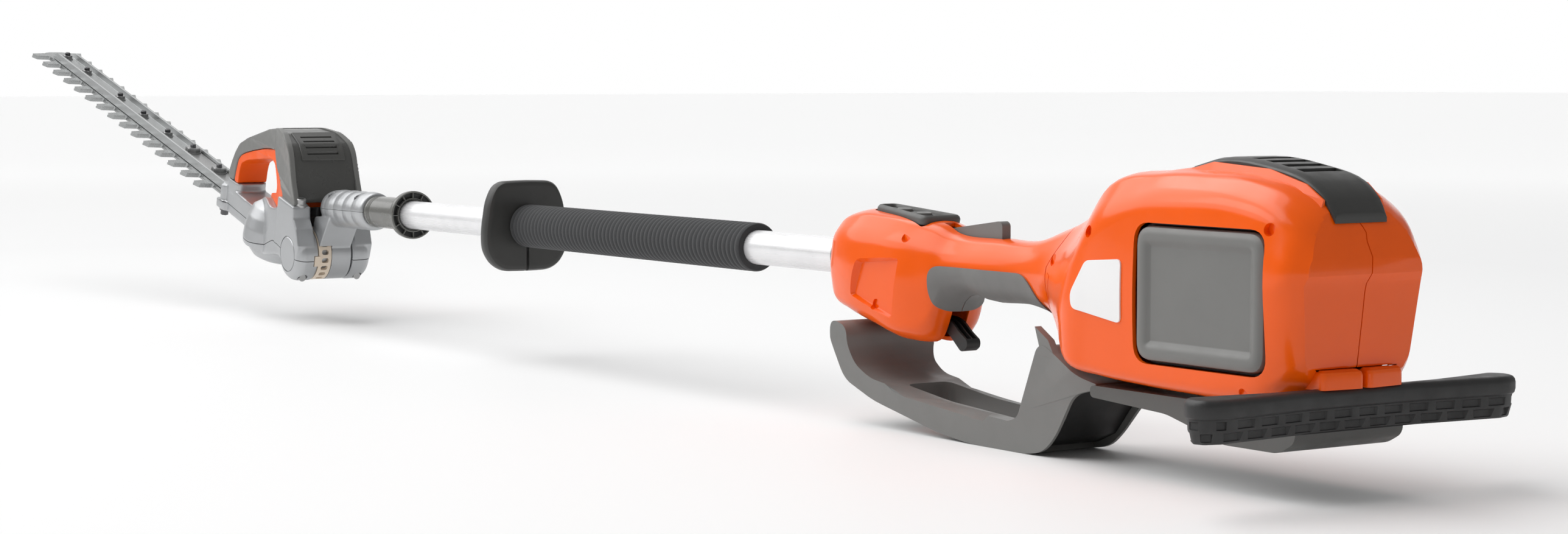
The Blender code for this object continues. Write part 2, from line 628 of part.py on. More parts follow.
def make_guard():
    guard = add_plate("loop_guard", "XZ", [rounded(GUARD_OUTLINE, 8, 2)], -GUARD_HALF_WIDTH,
                      GUARD_HALF_WIDTH, BASE, GRAY, bevel=1.5)
    for vertex in guard.data.vertices:
        rise = min(1.0, (vertex.co.z / MM + AXIS_HEIGHT) / 57.0)
        vertex.co.y *= 1.0 + GUARD_FLARE * rise * rise
    start, end, half = GUARD_SLOT
    corners = ((start, -half), (end, -half), (end, half), (start, half))
    slot = add_plate("guard_slot", "XY", [rounded(corners, half)], -125, -50, BASE)
    for side in (1, -1):
        low, high = sorted((side * CHEEK_Y[0], side * CHEEK_Y[1]))
        build_on(guard, add_plate(f"guard_cheek_{high:.0f}", "XZ", [GUARD_CHEEK], low, high, BASE))
    cut(guard, slot)
    add_plate("bottom_tray", "XZ", [rounded(TRAY_OUTLINE, 5, 2)], -TRAY_HALF_WIDTH, TRAY_HALF_WIDTH, BASE,
              GRAY, bevel=2.0)
    left = list(BUMPER_OUTLINE)
    right = [(x, -y) for x, y in left[1:-1]]
    add_plate("rear_bumper", "XY", [rounded(left + right[::-1], 12, 2)], BUMPER_TOP - BUMPER_HEIGHT,
              BUMPER_TOP, BASE, BLACK, bevel=6.0)


def make_pole():
    add_ring("pole_tube", "X", POLE_START, POLE_END, POLE_RADIUS - POLE_WALL, POLE_RADIUS, BASE, ALUMINIUM)
    add_ring("entry_seal", "X", NOSE_X + GAP, -25, POLE_RADIUS + GAP, 16.5, BASE, GRAY)
    add_ring("foam_grip", "X", FOAM_START, FOAM_END, POLE_RADIUS + GAP, FOAM_RADIUS, BASE, FOAM)
    left = list(SHIELD_OUTLINE)
    right = [(-y, z) for y, z in left[1:-1]]
    shield = add_plate("hand_shield", "YZ", [rounded(left + right[::-1], 8, 2)], *SHIELD_X, BASE, DARK,
                       bevel=2.5)
    cut(shield, add_rod("shield_bore", "X", 430, 480, POLE_RADIUS + GAP, BASE),
        add_box("shield_slit", (430, -1.2, -50), (480, 1.2, -10), BASE))
    add_box("shield_clip", (448, -0.8, -34), (456, 0.8, -26), BASE, BRIGHT)
    smooth = hermite([(x, z) for x, z in CABLE_ROUTE[:9]], 2)
    straight = [np.array(point, dtype=float) for point in CABLE_ROUTE[9:12]]
    bend = hermite([(x, z) for x, z in CABLE_ROUTE[12:]], 2)
    route = [(point[0], 0.0, point[1]) for point in (*smooth, *straight, *bend)]
    add_tube("power_lead", route, CABLE_RADIUS, BASE, BLACK)


def make_sleeve():
    start, end = SLEEVE_X
    inner = POLE_RADIUS + GAP
    ring, body = SLEEVE_RING_RADIUS, SLEEVE_RADIUS
    profile = ((body, end), (body, start + 16), (body + 3, start + 9), (ring, start + 7), (ring, start),
               (ring - 2.5, start), (ring - 2.5, start + 3.5), (inner + 1.5, start + 3.5),
               (inner + 1.5, start + 0.5), (inner, start + 0.5), (inner, end))
    add_turned("lock_sleeve", "X", profile, BASE, DARK, 24, closed=True)


def make_knuckle():
    """The lower clamp half with the neck and drum, and the cap that closes it over the pole."""
    bore = add_rod("clamp_bore", "X", CLAMP_X[0] - 5, POLE_END + 1, POLE_RADIUS + GAP, BASE)
    knuckle = add_rod("knuckle", "X", *CLAMP_X, CLAMP_RADIUS, BASE, SILVER)
    upper_half = add_box("above_split", (700, -40, -0.15), (900, 40, 40), BASE)
    cut(knuckle, upper_half)
    neck = add_plate("neck_form", "XZ", [rounded(NECK_OUTLINE, 3, 2)], -16, 16, BASE)
    drum = add_rod("drum_form", "Y", -DRUM_HALF_WIDTH, DRUM_HALF_WIDTH, DRUM_RADIUS, BASE, sides=40,
                   at=HINGE[::2])
    build_on(knuckle, neck, drum)
    groove = add_ring("ring_groove", "Y", RING_Y[0] - GAP, RING_Y[1] + 3, RING_RADII[0] - GAP,
                      RING_RADII[1] + GAP, BASE, None, 40, at=HINGE)
    pin_bore = add_rod("pin_bore", "Y", -30, 30, PIN_RADIUS + 0.05, BASE, at=HINGE[::2], sides=32)
    lead_way = add_tube_cutter("lead_way", CABLE_ROUTE[12:], CABLE_RADIUS + 1.9)
    cut(knuckle, bore, pin_bore, lead_way, *lock_bore(), groove)
    cap = add_rod("clamp_cap", "X", *CLAMP_X, CLAMP_RADIUS, BASE, SILVER)
    lower_half = add_box("below_split", (700, -40, -40), (900, 40, 0.15), BASE)
    cut(cap, lower_half, bore, lead_way)


def lock_direction():
    return Vector((math.cos(LOCK_ANGLE), 0.0, math.sin(LOCK_ANGLE)))


def lock_rod(name, near, far, radius, finish=None):
    """A rod on the lock pin's line, between two distances from the fold axis."""
    rod = add_rod(name, "Z", near, far, radius, BASE, finish, sides=12)
    turn = lock_direction().to_track_quat("Z", "Y").to_matrix().to_4x4()
    across = Vector(((HINGE[0]) * MM, (RING_Y[0] + RING_Y[1]) / 2 * MM, HINGE[2] * MM))
    rod.data.transform(Matrix.Translation(across) @ turn)
    return rod


def lock_bore():
    return (lock_rod("lock_bore", RING_RADII[1] - 6, 52.0, 2.6),)


def add_tube_cutter(name, route, radius):
    """A closed round channel along a route on the centre plane."""
    points = hermite(route, 3)
    points[-1] += 2.0 * (points[-1] - points[-2]) / np.linalg.norm(points[-1] - points[-2])
    rings = []
    for i, point in enumerate(points):
        ahead = points[min(i + 1, len(points) - 1)] - points[max(i - 1, 0)]
        ahead = ahead / np.linalg.norm(ahead)
        side = np.array((-ahead[1], ahead[0]))
        ring = []
        for angle in np.linspace(0, 2 * math.pi, 12, endpoint=False):
            offset = side * radius * math.cos(angle)
            ring.append((point[0] + offset[0], radius * math.sin(angle), point[1] + offset[1]))
        rings.append(ring)
    return add_loft(name, rings, BASE)


def make_hinge():
    add_ring("fold_pin", "Y", -36, 36, 4.0, PIN_RADIUS, HEAD, STEEL, 32)
    for name, side in (("pivot_cap_left", 1), ("pivot_cap_right", -1)):
        near, far = LOBE_Y[1] + GAP, LOBE_Y[1] + 1.5
        start, end = (near, far) if side > 0 else (-far, -near)
        add_rod(name, "Y", start, end, 14.0, HEAD, SILVER, sides=32)
    ring = add_ring("detent_ring", "Y", *RING_Y, *RING_RADII, HEAD, CREAM, 40)
    shape = bmesh.new()
    for slot in range(RING_SLOTS):
        turn = Matrix.Rotation(2 * math.pi * slot / RING_SLOTS + LOCK_ANGLE - HEAD_TILT, 4, "Y").inverted()
        middle = turn @ Vector((sum(RING_RADII) / 2, 0, 0))
        made = bmesh.ops.create_cube(shape, size=1.0)["verts"]
        bmesh.ops.scale(shape, vec=(8.0, 6.7, 4.8), verts=made)
        bmesh.ops.transform(shape, matrix=turn, verts=made)
        bmesh.ops.translate(shape, vec=middle + Vector((0, (RING_Y[0] + RING_Y[1]) / 2, 0)), verts=made)
    cut(ring, finish_bmesh("detent_slots", shape, HEAD, None))
    lock_pin = lock_rod("lock_pin", RING_RADII[1] + 0.5, 46.0, 2.2, STEEL)
    move_origin(lock_pin, HINGE)


def gearbox_plan():
    left = list(GEARBOX_PLAN)
    right = [(u, -y) for u, y in left]
    return rounded(left + right[::-1], 8, 2)


def make_gearbox():
    upper = add_plate("gearbox_upper", "XY", [gearbox_plan()], SPLIT_W + 0.15, 12, HEAD, SILVER)
    dome = add_rod("dome_form", "Z", 10, 24, 40, HEAD, sides=28, at=(CRANK_U, 0), tip=29)
    seat = add_box("seat_form", (31, -33, 0), (76, 33, 45), HEAD)
    build_on(upper, dome, seat)
    lower = add_plate("gearbox_lower", "XY", [gearbox_plan()], -21, SPLIT_W - 0.15, HEAD, SILVER)
    bowl = add_rod("bowl_form", "Z", -34, -19, 27, HEAD, sides=28, at=(CRANK_U, 0), tip=37)
    build_on(lower, bowl)
    for side in (1, -1):
        low, high = sorted((side * LOBE_Y[0], side * LOBE_Y[1]))
        tag = "left" if side > 0 else "right"
        arm = add_plate(f"arm_form_{tag}", "XZ", [ARM_OUTLINE], low, high, HEAD)
        lobe = add_rod(f"lobe_form_{tag}", "Y", low, high, LOBE_RADIUS, HEAD, sides=32)
        under = add_box(f"under_lobe_{tag}", (-40, low - 1, -40), (31, high + 1, 0.15), HEAD)
        over = add_box(f"over_lobe_{tag}", (-40, low - 1, -0.15), (60, high + 1, 40), HEAD)
        upper_lobe = add_rod(f"upper_lobe_{tag}", "Y", low, high, LOBE_RADIUS, HEAD, sides=32)
        cut(upper_lobe, under)
        link = add_box(f"link_form_{tag}", (10, low, -21), (45, high, SPLIT_W - 0.15), HEAD)
        cut(lobe, over)
        build_on(upper, upper_lobe, arm)
        build_on(lower, lobe, link)
    pin_bore = add_rod("head_pin_bore", "Y", -36.3, 36.3, PIN_RADIUS + 0.05, HEAD, sides=32)
    drum_room = add_rod("drum_room", "Y", -LOBE_Y[0], LOBE_Y[0], DRUM_RADIUS + 2.5, HEAD, sides=28)
    cavity = add_rod("gear_cavity", "Z", -19, 10, CAVITY_RADIUS, HEAD, sides=28, at=(CRANK_U, 0))
    bowl_room = add_rod("bowl_room", "Z", -31, -18.5, 24, HEAD, sides=28, at=(CRANK_U, 0),
                        tip=CAVITY_RADIUS)
    room = ECCENTRIC + 0.6
    knife_way = add_box("knife_way", (110, -13.2, SPLIT_W - 1), (240, 13.2, -6.6), HEAD)
    pinion_room = add_rod("pinion_room", "Z", -7, 50, 10, HEAD, sides=24, at=(MOTOR_U, 0))
    back, front, narrow = YOKE_U[0] - room, YOKE_U[1] + room, YOKE_U[2] + room + 1
    side, slim = YOKE_HALF_WIDTH + 1.5, KNIFE_HALF_WIDTH + 0.7
    yoke = ((back, side), (front, side), (narrow, slim), (narrow, -slim), (front, -side), (back, -side))
    tail_room = add_plate("tail_room", "XY", [yoke], SPLIT_W - 1, -6.6, HEAD)
    cut(upper, pin_bore, drum_room, cavity, knife_way, pinion_room, tail_room)
    cut(lower, pin_bore, drum_room, cavity, bowl_room)


def gear_outline(teeth, phase):
    """Straight-sided teeth of about standard height, a little thin so that the pair runs with backlash."""
    pitch_radius = MODULE * teeth / 2
    tip, root = pitch_radius + 0.8 * MODULE, pitch_radius - 1.15 * MODULE
    step = 2 * math.pi / teeth
    outline = []
    for tooth in range(teeth):
        middle = tooth * step + phase
        for radius, share in ((root, -0.28), (tip, -0.1), (tip, 0.1), (root, 0.28)):
            angle = middle + share * step
            outline.append((radius * math.cos(angle), radius * math.sin(angle)))
    return outline


def make_drive():
    gear = add_plate("crank_gear", "XY", [gear_outline(CRANK_TEETH, math.pi)], *GEAR_W, CRANK, STEEL)
    big, small = ECCENTRIC_RADII
    build_on(gear,
             add_rod("crank_hub", "Z", 3, 9.4, 6, CRANK, sides=20),
             add_rod("upper_eccentric", "Z", UPPER_KNIFE_W[0] - 0.1, -4, big, CRANK, sides=20,
                     at=(0, ECCENTRIC)),
             add_rod("lower_eccentric", "Z", LOWER_KNIFE_W[0] - 0.1, UPPER_KNIFE_W[0], small, CRANK,
                     sides=16, at=(0, -ECCENTRIC)),
             add_rod("crank_shaft", "Z", -27, -12, 4, CRANK, sides=20))
    add_ring("crank_bearing", "Z", -27, -21, 4.1, 9, HEAD, BRIGHT, 24, at=(CRANK_U, 0, 0))
    pinion = gear_outline(PINION_TEETH, math.pi / PINION_TEETH)
    rotor = add_plate("motor_rotor", "XY", [pinion], *GEAR_W, ROTOR, STEEL)
    build_on(rotor,
             add_rod("motor_shaft", "Z", GEAR_W[1] - 1, STATOR_W[1] + 7, 3, ROTOR, sides=16),
             add_rod("rotor_core", "Z", STATOR_W[0] + 2, STATOR_W[1] - 2, STATOR_RADII[0] - 0.6, ROTOR,
                     sides=28))
    add_ring("motor_stator", "Z", *STATOR_W, *STATOR_RADII, HEAD, COPPER, 28, at=(MOTOR_U, 0, 0))
    add_ring("rotor_bearing", "Z", STATOR_W[1] + 1, STATOR_W[1] + 6, 3.1, 8, HEAD, BRIGHT, 20,
             at=(MOTOR_U, 0, 0))


def add_cover_form(name, outline, wall, finish=None, bevel=0.0):
    """A block with the motor cover's side outline, narrowing towards the front of the head."""
    (back, wide), (front, narrow) = COVER_TAPER
    form = add_plate(name, "XZ", [rounded(outline, 4, 2)], -wide + wall, wide - wall, HEAD, finish, bevel)
    for vertex in form.data.vertices:
        share = np.interp(vertex.co.x / MM, (back, front), (1.0, (narrow - wall) / (wide - wall)))
        vertex.co.y *= share
    return form


def make_covers():
    cover = add_cover_form("motor_cover", COVER_OUTLINE, 0.0, DARK, bevel=2.5)
    cut(cover, add_cover_form("cover_hollow", COVER_HOLLOW, COVER_WALL))
    half = HANDLE_HALF_WIDTH
    add_plate("handle_bow", "XZ", [rounded(BOW_OUTLINE, 6, 2)], -half, half, HEAD, GRAY, bevel=3.0)
    half -= 0.5
    add_plate("handle_grip", "XZ", [rounded(GRIP_OUTLINE, 5, 2)], -half, half, HEAD, ORANGE, bevel=3.0)


def knife_outline(offset):
    """A knife seen from above: a strip with teeth to both sides, and a wide yoke behind."""
    half, reach = KNIFE_HALF_WIDTH, TOOTH_REACH
    left = [(YOKE_U[0], YOKE_HALF_WIDTH), (YOKE_U[1], YOKE_HALF_WIDTH), (YOKE_U[2], half)]
    for tooth in range(TOOTH_COUNT):
        u = ROOT_TOOTH_U + tooth * TOOTH_PITCH + offset
        left += [(u - 8.5, half), (u - 5.5, reach - 3), (u + 4.5, reach), (u + 5.5, half)]
    end = ROOT_TOOTH_U + (TOOTH_COUNT - 1) * TOOTH_PITCH + TIP_LENGTH
    left.append((end, half * 0.6))
    return left + [(u, -y) for u, y in reversed(left)]


def slot_outline(u):
    """A slot that lets a knife travel past a bar bolt."""
    half, length = 3.4, 3.4 + ECCENTRIC + 0.6
    corners = ((u - length, -half), (u + length, -half), (u + length, half), (u - length, half))
    return rounded(corners, half, 2)


def make_knives():
    slots = [slot_outline(u) for u in BOLT_STATIONS]
    big, small = ECCENTRIC_RADII
    for name, offset, level, eccentric in (("upper_knife", 0.0, UPPER_KNIFE_W, big),
                                           ("lower_knife", LOWER_OFFSET, LOWER_KNIFE_W, small)):
        room = eccentric + ECCENTRIC + 0.5
        window = [(CRANK_U - room, -room), (CRANK_U + room, -room), (CRANK_U + room, room),
                  (CRANK_U - room, room)]
        add_plate(name, "XY", [knife_outline(offset), window] + slots, *level, HEAD, BRIGHT)


def make_bar():
    """The aluminium channel over the knives, its root plate, and the bolts that hold the stack."""
    low, high = BAR_W
    half, wall = BAR_HALF_WIDTH, 2.4
    profile = ((-half, low), (half, low), (half, high), (half - wall, high), (half - wall, low + wall),
               (wall - half, low + wall), (wall - half, high), (-half, high))
    bar = add_plate("guide_bar", "YZ", [profile], *BAR_U, HEAD, ALUMINIUM)
    root = add_box("root_plate", (228, -8, low + wall + GAP), (362, 8, low + wall + 3.3), HEAD, BRIGHT)
    for number, u in enumerate(BOLT_STATIONS, 1):
        hole = add_rod(f"bolt_hole_{number}", "Z", -20, 20, 3.4, HEAD, sides=10, at=(u, 0))
        cut(bar, hole)
        is_root = number <= ROOT_BOLTS
        if is_root:
            cut(root, hole)
        base = low + wall + (3.3 + GAP if is_root else GAP)
        under = LOWER_KNIFE_W[0]
        nut_radius, nut_height = (8.0, 5.5) if is_root else (5.6, 4.5)
        bolt = add_rod(f"bar_bolt_{number}", "Z", under - 2.5, base + nut_height + 3, 3.0, HEAD, STEEL,
                       sides=8, at=(u, 0))
        nut = add_rod(f"nut_form_{number}", "Z", base, base + nut_height, nut_radius, HEAD, sides=6,
                      at=(u, 0))
        washer = add_rod(f"washer_form_{number}", "Z", under - 2.0, under - GAP, 6.5, HEAD, sides=10,
                         at=(u, 0))
        build_on(bolt, nut, washer)


clear_scene()
PARTS = new_collection("pole_hedge_trimmer")
CUTTERS = new_collection("cutters")
BASE = add_datum("machine_datum", None, (ROW_X, 0.0, AXIS_HEIGHT))
HEAD = add_datum("head_datum", BASE, HINGE, HEAD_TILT)
CRANK = add_datum("crank_datum", HEAD, (CRANK_U, 0.0, 0.0))
ROTOR = add_datum("rotor_datum", HEAD, (MOTOR_U, 0.0, 0.0))
make_housings()
make_keypad()
make_controls()
make_battery()
make_rear_trim()
make_guard()
make_pole()
make_sleeve()
make_knuckle()
make_hinge()
make_gearbox()
make_drive()
make_covers()
make_knives()
make_bar()
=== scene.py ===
"""Finished look of a battery pole hedge trimmer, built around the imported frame.

Shapes are drawn in millimetres, in two local frames. The machine frame has +X along the pole towards the
cutter, +Y to the left and +Z up, with its origin on the pole's axis. The head frame has u along the blades,
y to the left and w up, with its origin on the fold axis. Both are placed from the frame's own nodes.
"""
import json
import math

import bmesh
import bpy
import numpy as np
from mathutils import Matrix, Vector


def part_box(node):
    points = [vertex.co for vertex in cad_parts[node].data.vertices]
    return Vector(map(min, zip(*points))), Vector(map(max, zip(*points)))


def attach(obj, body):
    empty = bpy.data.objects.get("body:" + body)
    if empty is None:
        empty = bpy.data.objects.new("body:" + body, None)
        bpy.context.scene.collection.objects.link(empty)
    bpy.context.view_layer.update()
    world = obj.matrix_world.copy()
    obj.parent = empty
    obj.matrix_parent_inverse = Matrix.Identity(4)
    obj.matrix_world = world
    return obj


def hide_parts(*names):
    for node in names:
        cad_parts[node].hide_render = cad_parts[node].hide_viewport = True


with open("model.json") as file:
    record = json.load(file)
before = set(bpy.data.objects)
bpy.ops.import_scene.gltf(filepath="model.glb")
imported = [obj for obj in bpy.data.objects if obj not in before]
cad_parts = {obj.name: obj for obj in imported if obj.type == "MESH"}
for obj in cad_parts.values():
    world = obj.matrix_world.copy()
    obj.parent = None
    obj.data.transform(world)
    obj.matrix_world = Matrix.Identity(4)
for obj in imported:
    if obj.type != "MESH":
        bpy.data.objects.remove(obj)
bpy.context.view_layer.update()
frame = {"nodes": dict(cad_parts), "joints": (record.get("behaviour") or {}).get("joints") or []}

MM = 0.001
# The gap between a piece and what it slides over or sits in
GAP = 0.3
TINY = 1e-6
BEVEL_ANGLE = math.radians(40.0)
# Further out than either side of the shells and castings, for cuts right across them
WIDE = 60.0
SIDES = (("left", 1), ("right", -1))

# Driving sizes of the machine, which the frame shares
POLE_START = -136.0
POLE_END = 800.0
POLE_RADIUS = 12.5
AXIS_HEIGHT = 110.0
HEAD_TILT = math.radians(15.0)
TOOTH_PITCH = 36.7
TOOTH_COUNT = 15
ROOT_TOOTH_U = 260.0
BOLT_STATIONS = (271.0, 344.5, 418.0, 491.5, 565.0, 675.0, 742.0)

ROW_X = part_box("pole_tube")[0].x - POLE_START * MM
HINGE = Vector([j for j in frame["joints"] if j["name"] == "head_fold"][0]["pos_m"])
MACHINE = Matrix.Translation((ROW_X, 0.0, AXIS_HEIGHT * MM)) @ Matrix.Scale(MM, 4)
HEAD = Matrix.Translation(HINGE) @ Matrix.Rotation(-HEAD_TILT, 4, "Y") @ Matrix.Scale(MM, 4)

# The skin of the rear unit, front to back: each row is a station on X and the half outline (y, z) of the
# section there, from the bottom centre line to the top centre line.
SKIN = (
    (-30, (0, -25), (9, -24), (16, -19), (18.5, -3), (16, 13), (10, 20), (6, 21.5), (3, 22), (0, 22)),
    (-40, (0, -32), (14, -31), (22, -26), (25.5, -5), (22.5, 16), (14, 26), (9, 28), (5, 28.6), (0, 29)),
    (-60, (0, -37), (17, -36), (27, -31), (31, -5), (28, 18), (16, 31), (10, 33), (5, 34), (0, 34)),
    (-90, (0, -44), (18, -43), (29, -38), (33, -8), (29, 18), (18, 31), (12, 32.5), (6, 33.3), (0, 33.5)),
    (-122, (0, -51), (18, -50), (28, -43), (32, -10), (28, 16), (18, 28), (12, 30), (6, 30.6), (0, 31)),
    (-146, (0, -47), (14, -46), (22, -37), (25, -9), (23, 11), (15, 23.5), (10, 26), (5, 27), (0, 27.2)),
    (-160, (0, -22), (9, -21), (17, -14), (21, -2), (18.5, 10), (12, 19), (8, 21), (4, 22), (0, 22.4)),
    (-200, (0, -20), (9, -18), (17, -12), (20, 0), (17, 11), (11, 17.5), (7, 19.6), (4, 20.4), (0, 20.7)),
    (-245, (0, -20), (9, -19), (17, -13), (20.5, 0), (18, 11), (12, 18.5), (8, 20.6), (4, 21.5), (0, 21.8)),
    (-272, (0, -26), (12, -25), (22, -18), (26, 0), (22, 14), (15, 25), (10, 28), (5, 29.5), (0, 30)),
    (-298, (0, -40), (20, -39), (34, -33), (39, -8), (32, 15), (20, 33), (13, 36), (7, 37.4), (0, 38)),
    (-320, (0, -52), (34, -51), (48, -46), (49.5, -14), (44, 17), (30, 38), (24, 43), (16, 46), (0, 48)),
    (-345, (0, -54), (35, -54), (49, -50), (50.5, -6), (49, 38), (34, 60), (26, 63), (19, 64.5), (0, 65)),
    (-385, (0, -56), (36, -56), (49.5, -52), (51.5, 2), (49, 53), (33, 67.5), (26, 69), (20, 69.8), (0, 70)),
    (-422, (0, -57), (36, -57), (50, -53), (52, 2), (49.5, 56), (33, 68.8), (25, 70.5), (20, 73.5),
     (0, 74.5)),
    (-470, (0, -57), (36, -57), (50, -52), (52.4, 8), (49.5, 55), (34, 66), (25, 68.5), (20, 70.5),
     (0, 71.5)),
    (-498, (0, -54), (34, -53.5), (48, -48), (53.6, 18), (48, 50), (33, 59), (24, 61.5), (20, 62.5),
     (0, 63.5)),
    (-512, (0, -44), (28, -43.5), (42, -38), (52.4, 21), (42, 43), (29, 50), (22, 52.5), (17, 53), (0, 54)),
    (-522, (0, -34), (20, -33), (34, -28), (44, 21), (34, 33), (24, 38), (18, 39), (12, 39.5), (0, 40)),
)
# Side outline of the tail, which the skin is trimmed to: a crease runs across it above the middle.
TAIL_OUTLINE = (
    (-506, 70), (-517.5, 42), (-522.3, 24), (-522.3, 17), (-519.6, 11), (-518.3, -7), (-516, -34),
    (-512.5, -43), (-508, -60), (-560, -60), (-560, 70),
)
# The dividing line of the two clamshells, as (z, y), seen from behind
PARTING_LINE = (
    (-80, 0), (-46, 0), (-42, 1), (-34, 0.2), (6, -1.6), (11, -2.4), (17, -4.4), (26, -4.6), (34, -2.6),
    (39, -3), (44, 0), (90, 0),
)
# Short straight gaps where the neck's cover plates meet the body, as (x, z) pairs
NECK_SEAMS = (
    ((-297, 37), (-275, 7)), ((-283, 2), (-279, 4)), ((-283, 2), (-279, -22)), ((-275, 7), (-281, -30)),
)
# The left side's screws, as (x, z), and how far out from the middle the skin is at each
SCREW_SPOTS = ((-127.5, 18.7), (-97.6, -27.5), (-343, 33), (-498, 41), (-283, 12), (-478, -51))
SCREW_REACH = (26.5, 29, 47, 49.5, 27, 50)
WELL_RADIUS = 3.6
WELL_DEPTH = 3.0
BOSS_RADIUS = 5.4
VENT_SECTIONS = (
    (-404, 21, 70, 73.6), (-424, 21.5, 73.6, 78), (-470, 22, 70.6, 75.2), (-499, 22, 63, 67.6),
    (-511, 20.5, 54.2, 59.2), (-517.5, 19.5, 44.2, 49.4),
)
GUARD_OUTLINE = (
    (-57, -39), (-57.5, -58), (-64, -80), (-96, -92), (-169, -106.5), (-204, -110), (-260, -110),
    (-276, -107), (-288, -97), (-311, -68), (-336, -62), (-336, -59), (-320, -56), (-298, -44), (-284, -37.5),
    (-252, -88), (-243, -91), (-168, -86.5), (-95, -77), (-81, -69), (-77, -60), (-77, -43.5),
)
# The guard's rear leg is a channel that is open behind; a black block inside it is painted shade for the deep
# shadow in the channel
GUARD_HOLLOW = (
    (-296, -52), (-262, -97), (-259, -104), (-264, -116), (-345, -116), (-345, -66.5), (-318, -61.5),
    (-306, -55),
)
GUARD_SHADE_FILL = (
    (-295, -52), (-261.4, -97), (-259, -103), (-266, -105), (-282, -98), (-305, -66), (-318, -61),
    (-306, -54.6),
)
GUARD_CHEEK = ((-285.5, -46), (-279, -28.5), (-292, -36), (-299, -47))
TRAY_OUTLINE = (
    (-337, -59), (-337, -66), (-405, -69.5), (-436, -77), (-452, -82), (-498, -82), (-511, -75), (-511, -59),
)
BUMPER_OUTLINE = (
    (-521, 0), (-521.5, 40), (-526, 85), (-528, 106), (-524, 119), (-513, 122), (-503, 115), (-506, 98),
    (-511.5, 62), (-512.3, 40), (-512.3, 0),
)
TRIGGER_OUTLINE = (
    (-104, -36), (-112, -33.5), (-128, -34.5), (-143, -33.5), (-152, -36), (-161, -43), (-169, -47.5),
    (-169, -52), (-163, -56), (-152, -47), (-144, -41.5), (-132, -43), (-118, -44.5), (-106, -43.2),
)
LOCKOUT_OUTLINE = (
    (-147, 12), (-145, 21.5), (-148, 24.6), (-200, 31.5), (-203, 29.5), (-203, 13), (-196, 11), (-156, 9.5),
)
# The shield as (z, y), and its layers from the foam forwards as (inset, station on X)
SHIELD_OUTLINE = ((38, 0), (37, 27), (22, 35), (-4, 39), (-20, 38.5), (-32, 31), (-37.5, 21), (-38, 0))
SHIELD_LAYERS = (
    (5.0, 443.6), (1.6, 444.6), (0.4, 446.4), (0, 449), (0, 452), (0.8, 455), (3.0, 458), (8, 460.2),
    (14, 461),
)
# The recess in each cheek of the front housing as (x, z), and its layers outwards as (inset, y)
DISH_OUTLINE = ((-79, 3), (-68, -24), (-119, -38.5), (-128, 7))
DISH_LAYERS = ((3.6, 27.6), (3.0, 28.2), (0.0, 33.0), (-1.5, 40.0))
# The small ledge on each side of the tail as (x, y), and its layers upwards as (inset, z)
LEDGE_OUTLINE = ((-524, 1.5), (-500, 1.5), (-500, 31), (-521, 31))
LEDGE_LAYERS = ((0, -46), (0, -38.5), (0.8, -36.6), (3, -35.4))
SHELL_WALL = 2.6
# Half the gap between two shells or castings, and the whole gap beside the neck's cover plates
SEAM_HALF = 0.35
SEAM_WIDTH = 0.9
GRIP_OUTLINE = ((-150, 1), (-247, 1), (-268, -24), (-262, -34), (-158, -34), (-150, -20))
LABEL_OUTLINE = ((-343, 16), (-376, 18.5), (-376, -19), (-331, -13), (-329, -4))
# How much wider the guard is at the housing than below, and the height above the floor where that ends
GUARD_FLARE = 0.33
GUARD_FLARE_HEIGHT = 57.0
# The rails' top, from its rear (x, z) with its rise per millimetre, and how far it falls to the side at
# each x
RAIL_REAR = (-243, -91.2)
RAIL_RISE = 0.095
RAIL_FALLS = ((-231, 0.3), (-216, 5.0), (-134, 5.0), (-112, 0.3))
# Layers of the bumper's lip and band downwards as (inset, z), and the rows of pockets as (z, depth)
LIP_LAYERS = (
    (3.4, -45.5), (1.6, -46.2), (0.4, -47.6), (0, -49.5), (0, -53.0), (0.5, -55.2), (1.8, -56.4),
    (3.4, -56.8),
)
BAND_LAYERS = ((1.8, -55), (2.2, -62.4), (4.0, -68.6), (4.8, -69.5))
POCKET_ROWS = ((-59.6, 1.9), (-66.0, 3.4))
POCKET_COUNT = 27
POCKET_HEIGHT = 5.4
# A pocket's width as a share of the spacing, on the rear face and around the bumper's ends
POCKET_SHARE = 0.84
END_POCKET_SHARE = 0.4
VENT_SLOTS = ((-449, 76.8), (-461, 75.8), (-473, 74.3), (-485, 72))
KEY_STATIONS = (-92.0, -114.0)
KEYPAD_SLOPE = math.radians(5.0)
KEYPAD_HEIGHT = 33.6
# The keypad's rim upwards as (inset, z), which falls again to the panel inside it
KEYPAD_LAYERS = (
    (0.4, -3.5), (0.0, -0.4), (0.5, 1.2), (1.6, 2.3), (2.8, 2.6), (3.8, 2.2), (4.4, 1.2), (4.6, 0.4),
)
# The battery's lowest and highest corners from the side, as (x, z)
BATTERY_LOW = (-495.0, -39.0)
BATTERY_HIGH = (-388.0, 39.0)
# The battery's layers from right to left as (inset, y), with the frame and recess of its left face last
CASE_LAYERS = (
    (2.2, -48.5), (0.0, -46.5), (0.0, 47.0), (1.0, 49.6), (3.0, 51.0), (5.5, 51.5), (8.0, 51.1), (9.5, 50.2),
    (11.5, 48.9), (12.5, 48.7),
)
LATCHES = (("front", -410.0), ("rear", -467.0))

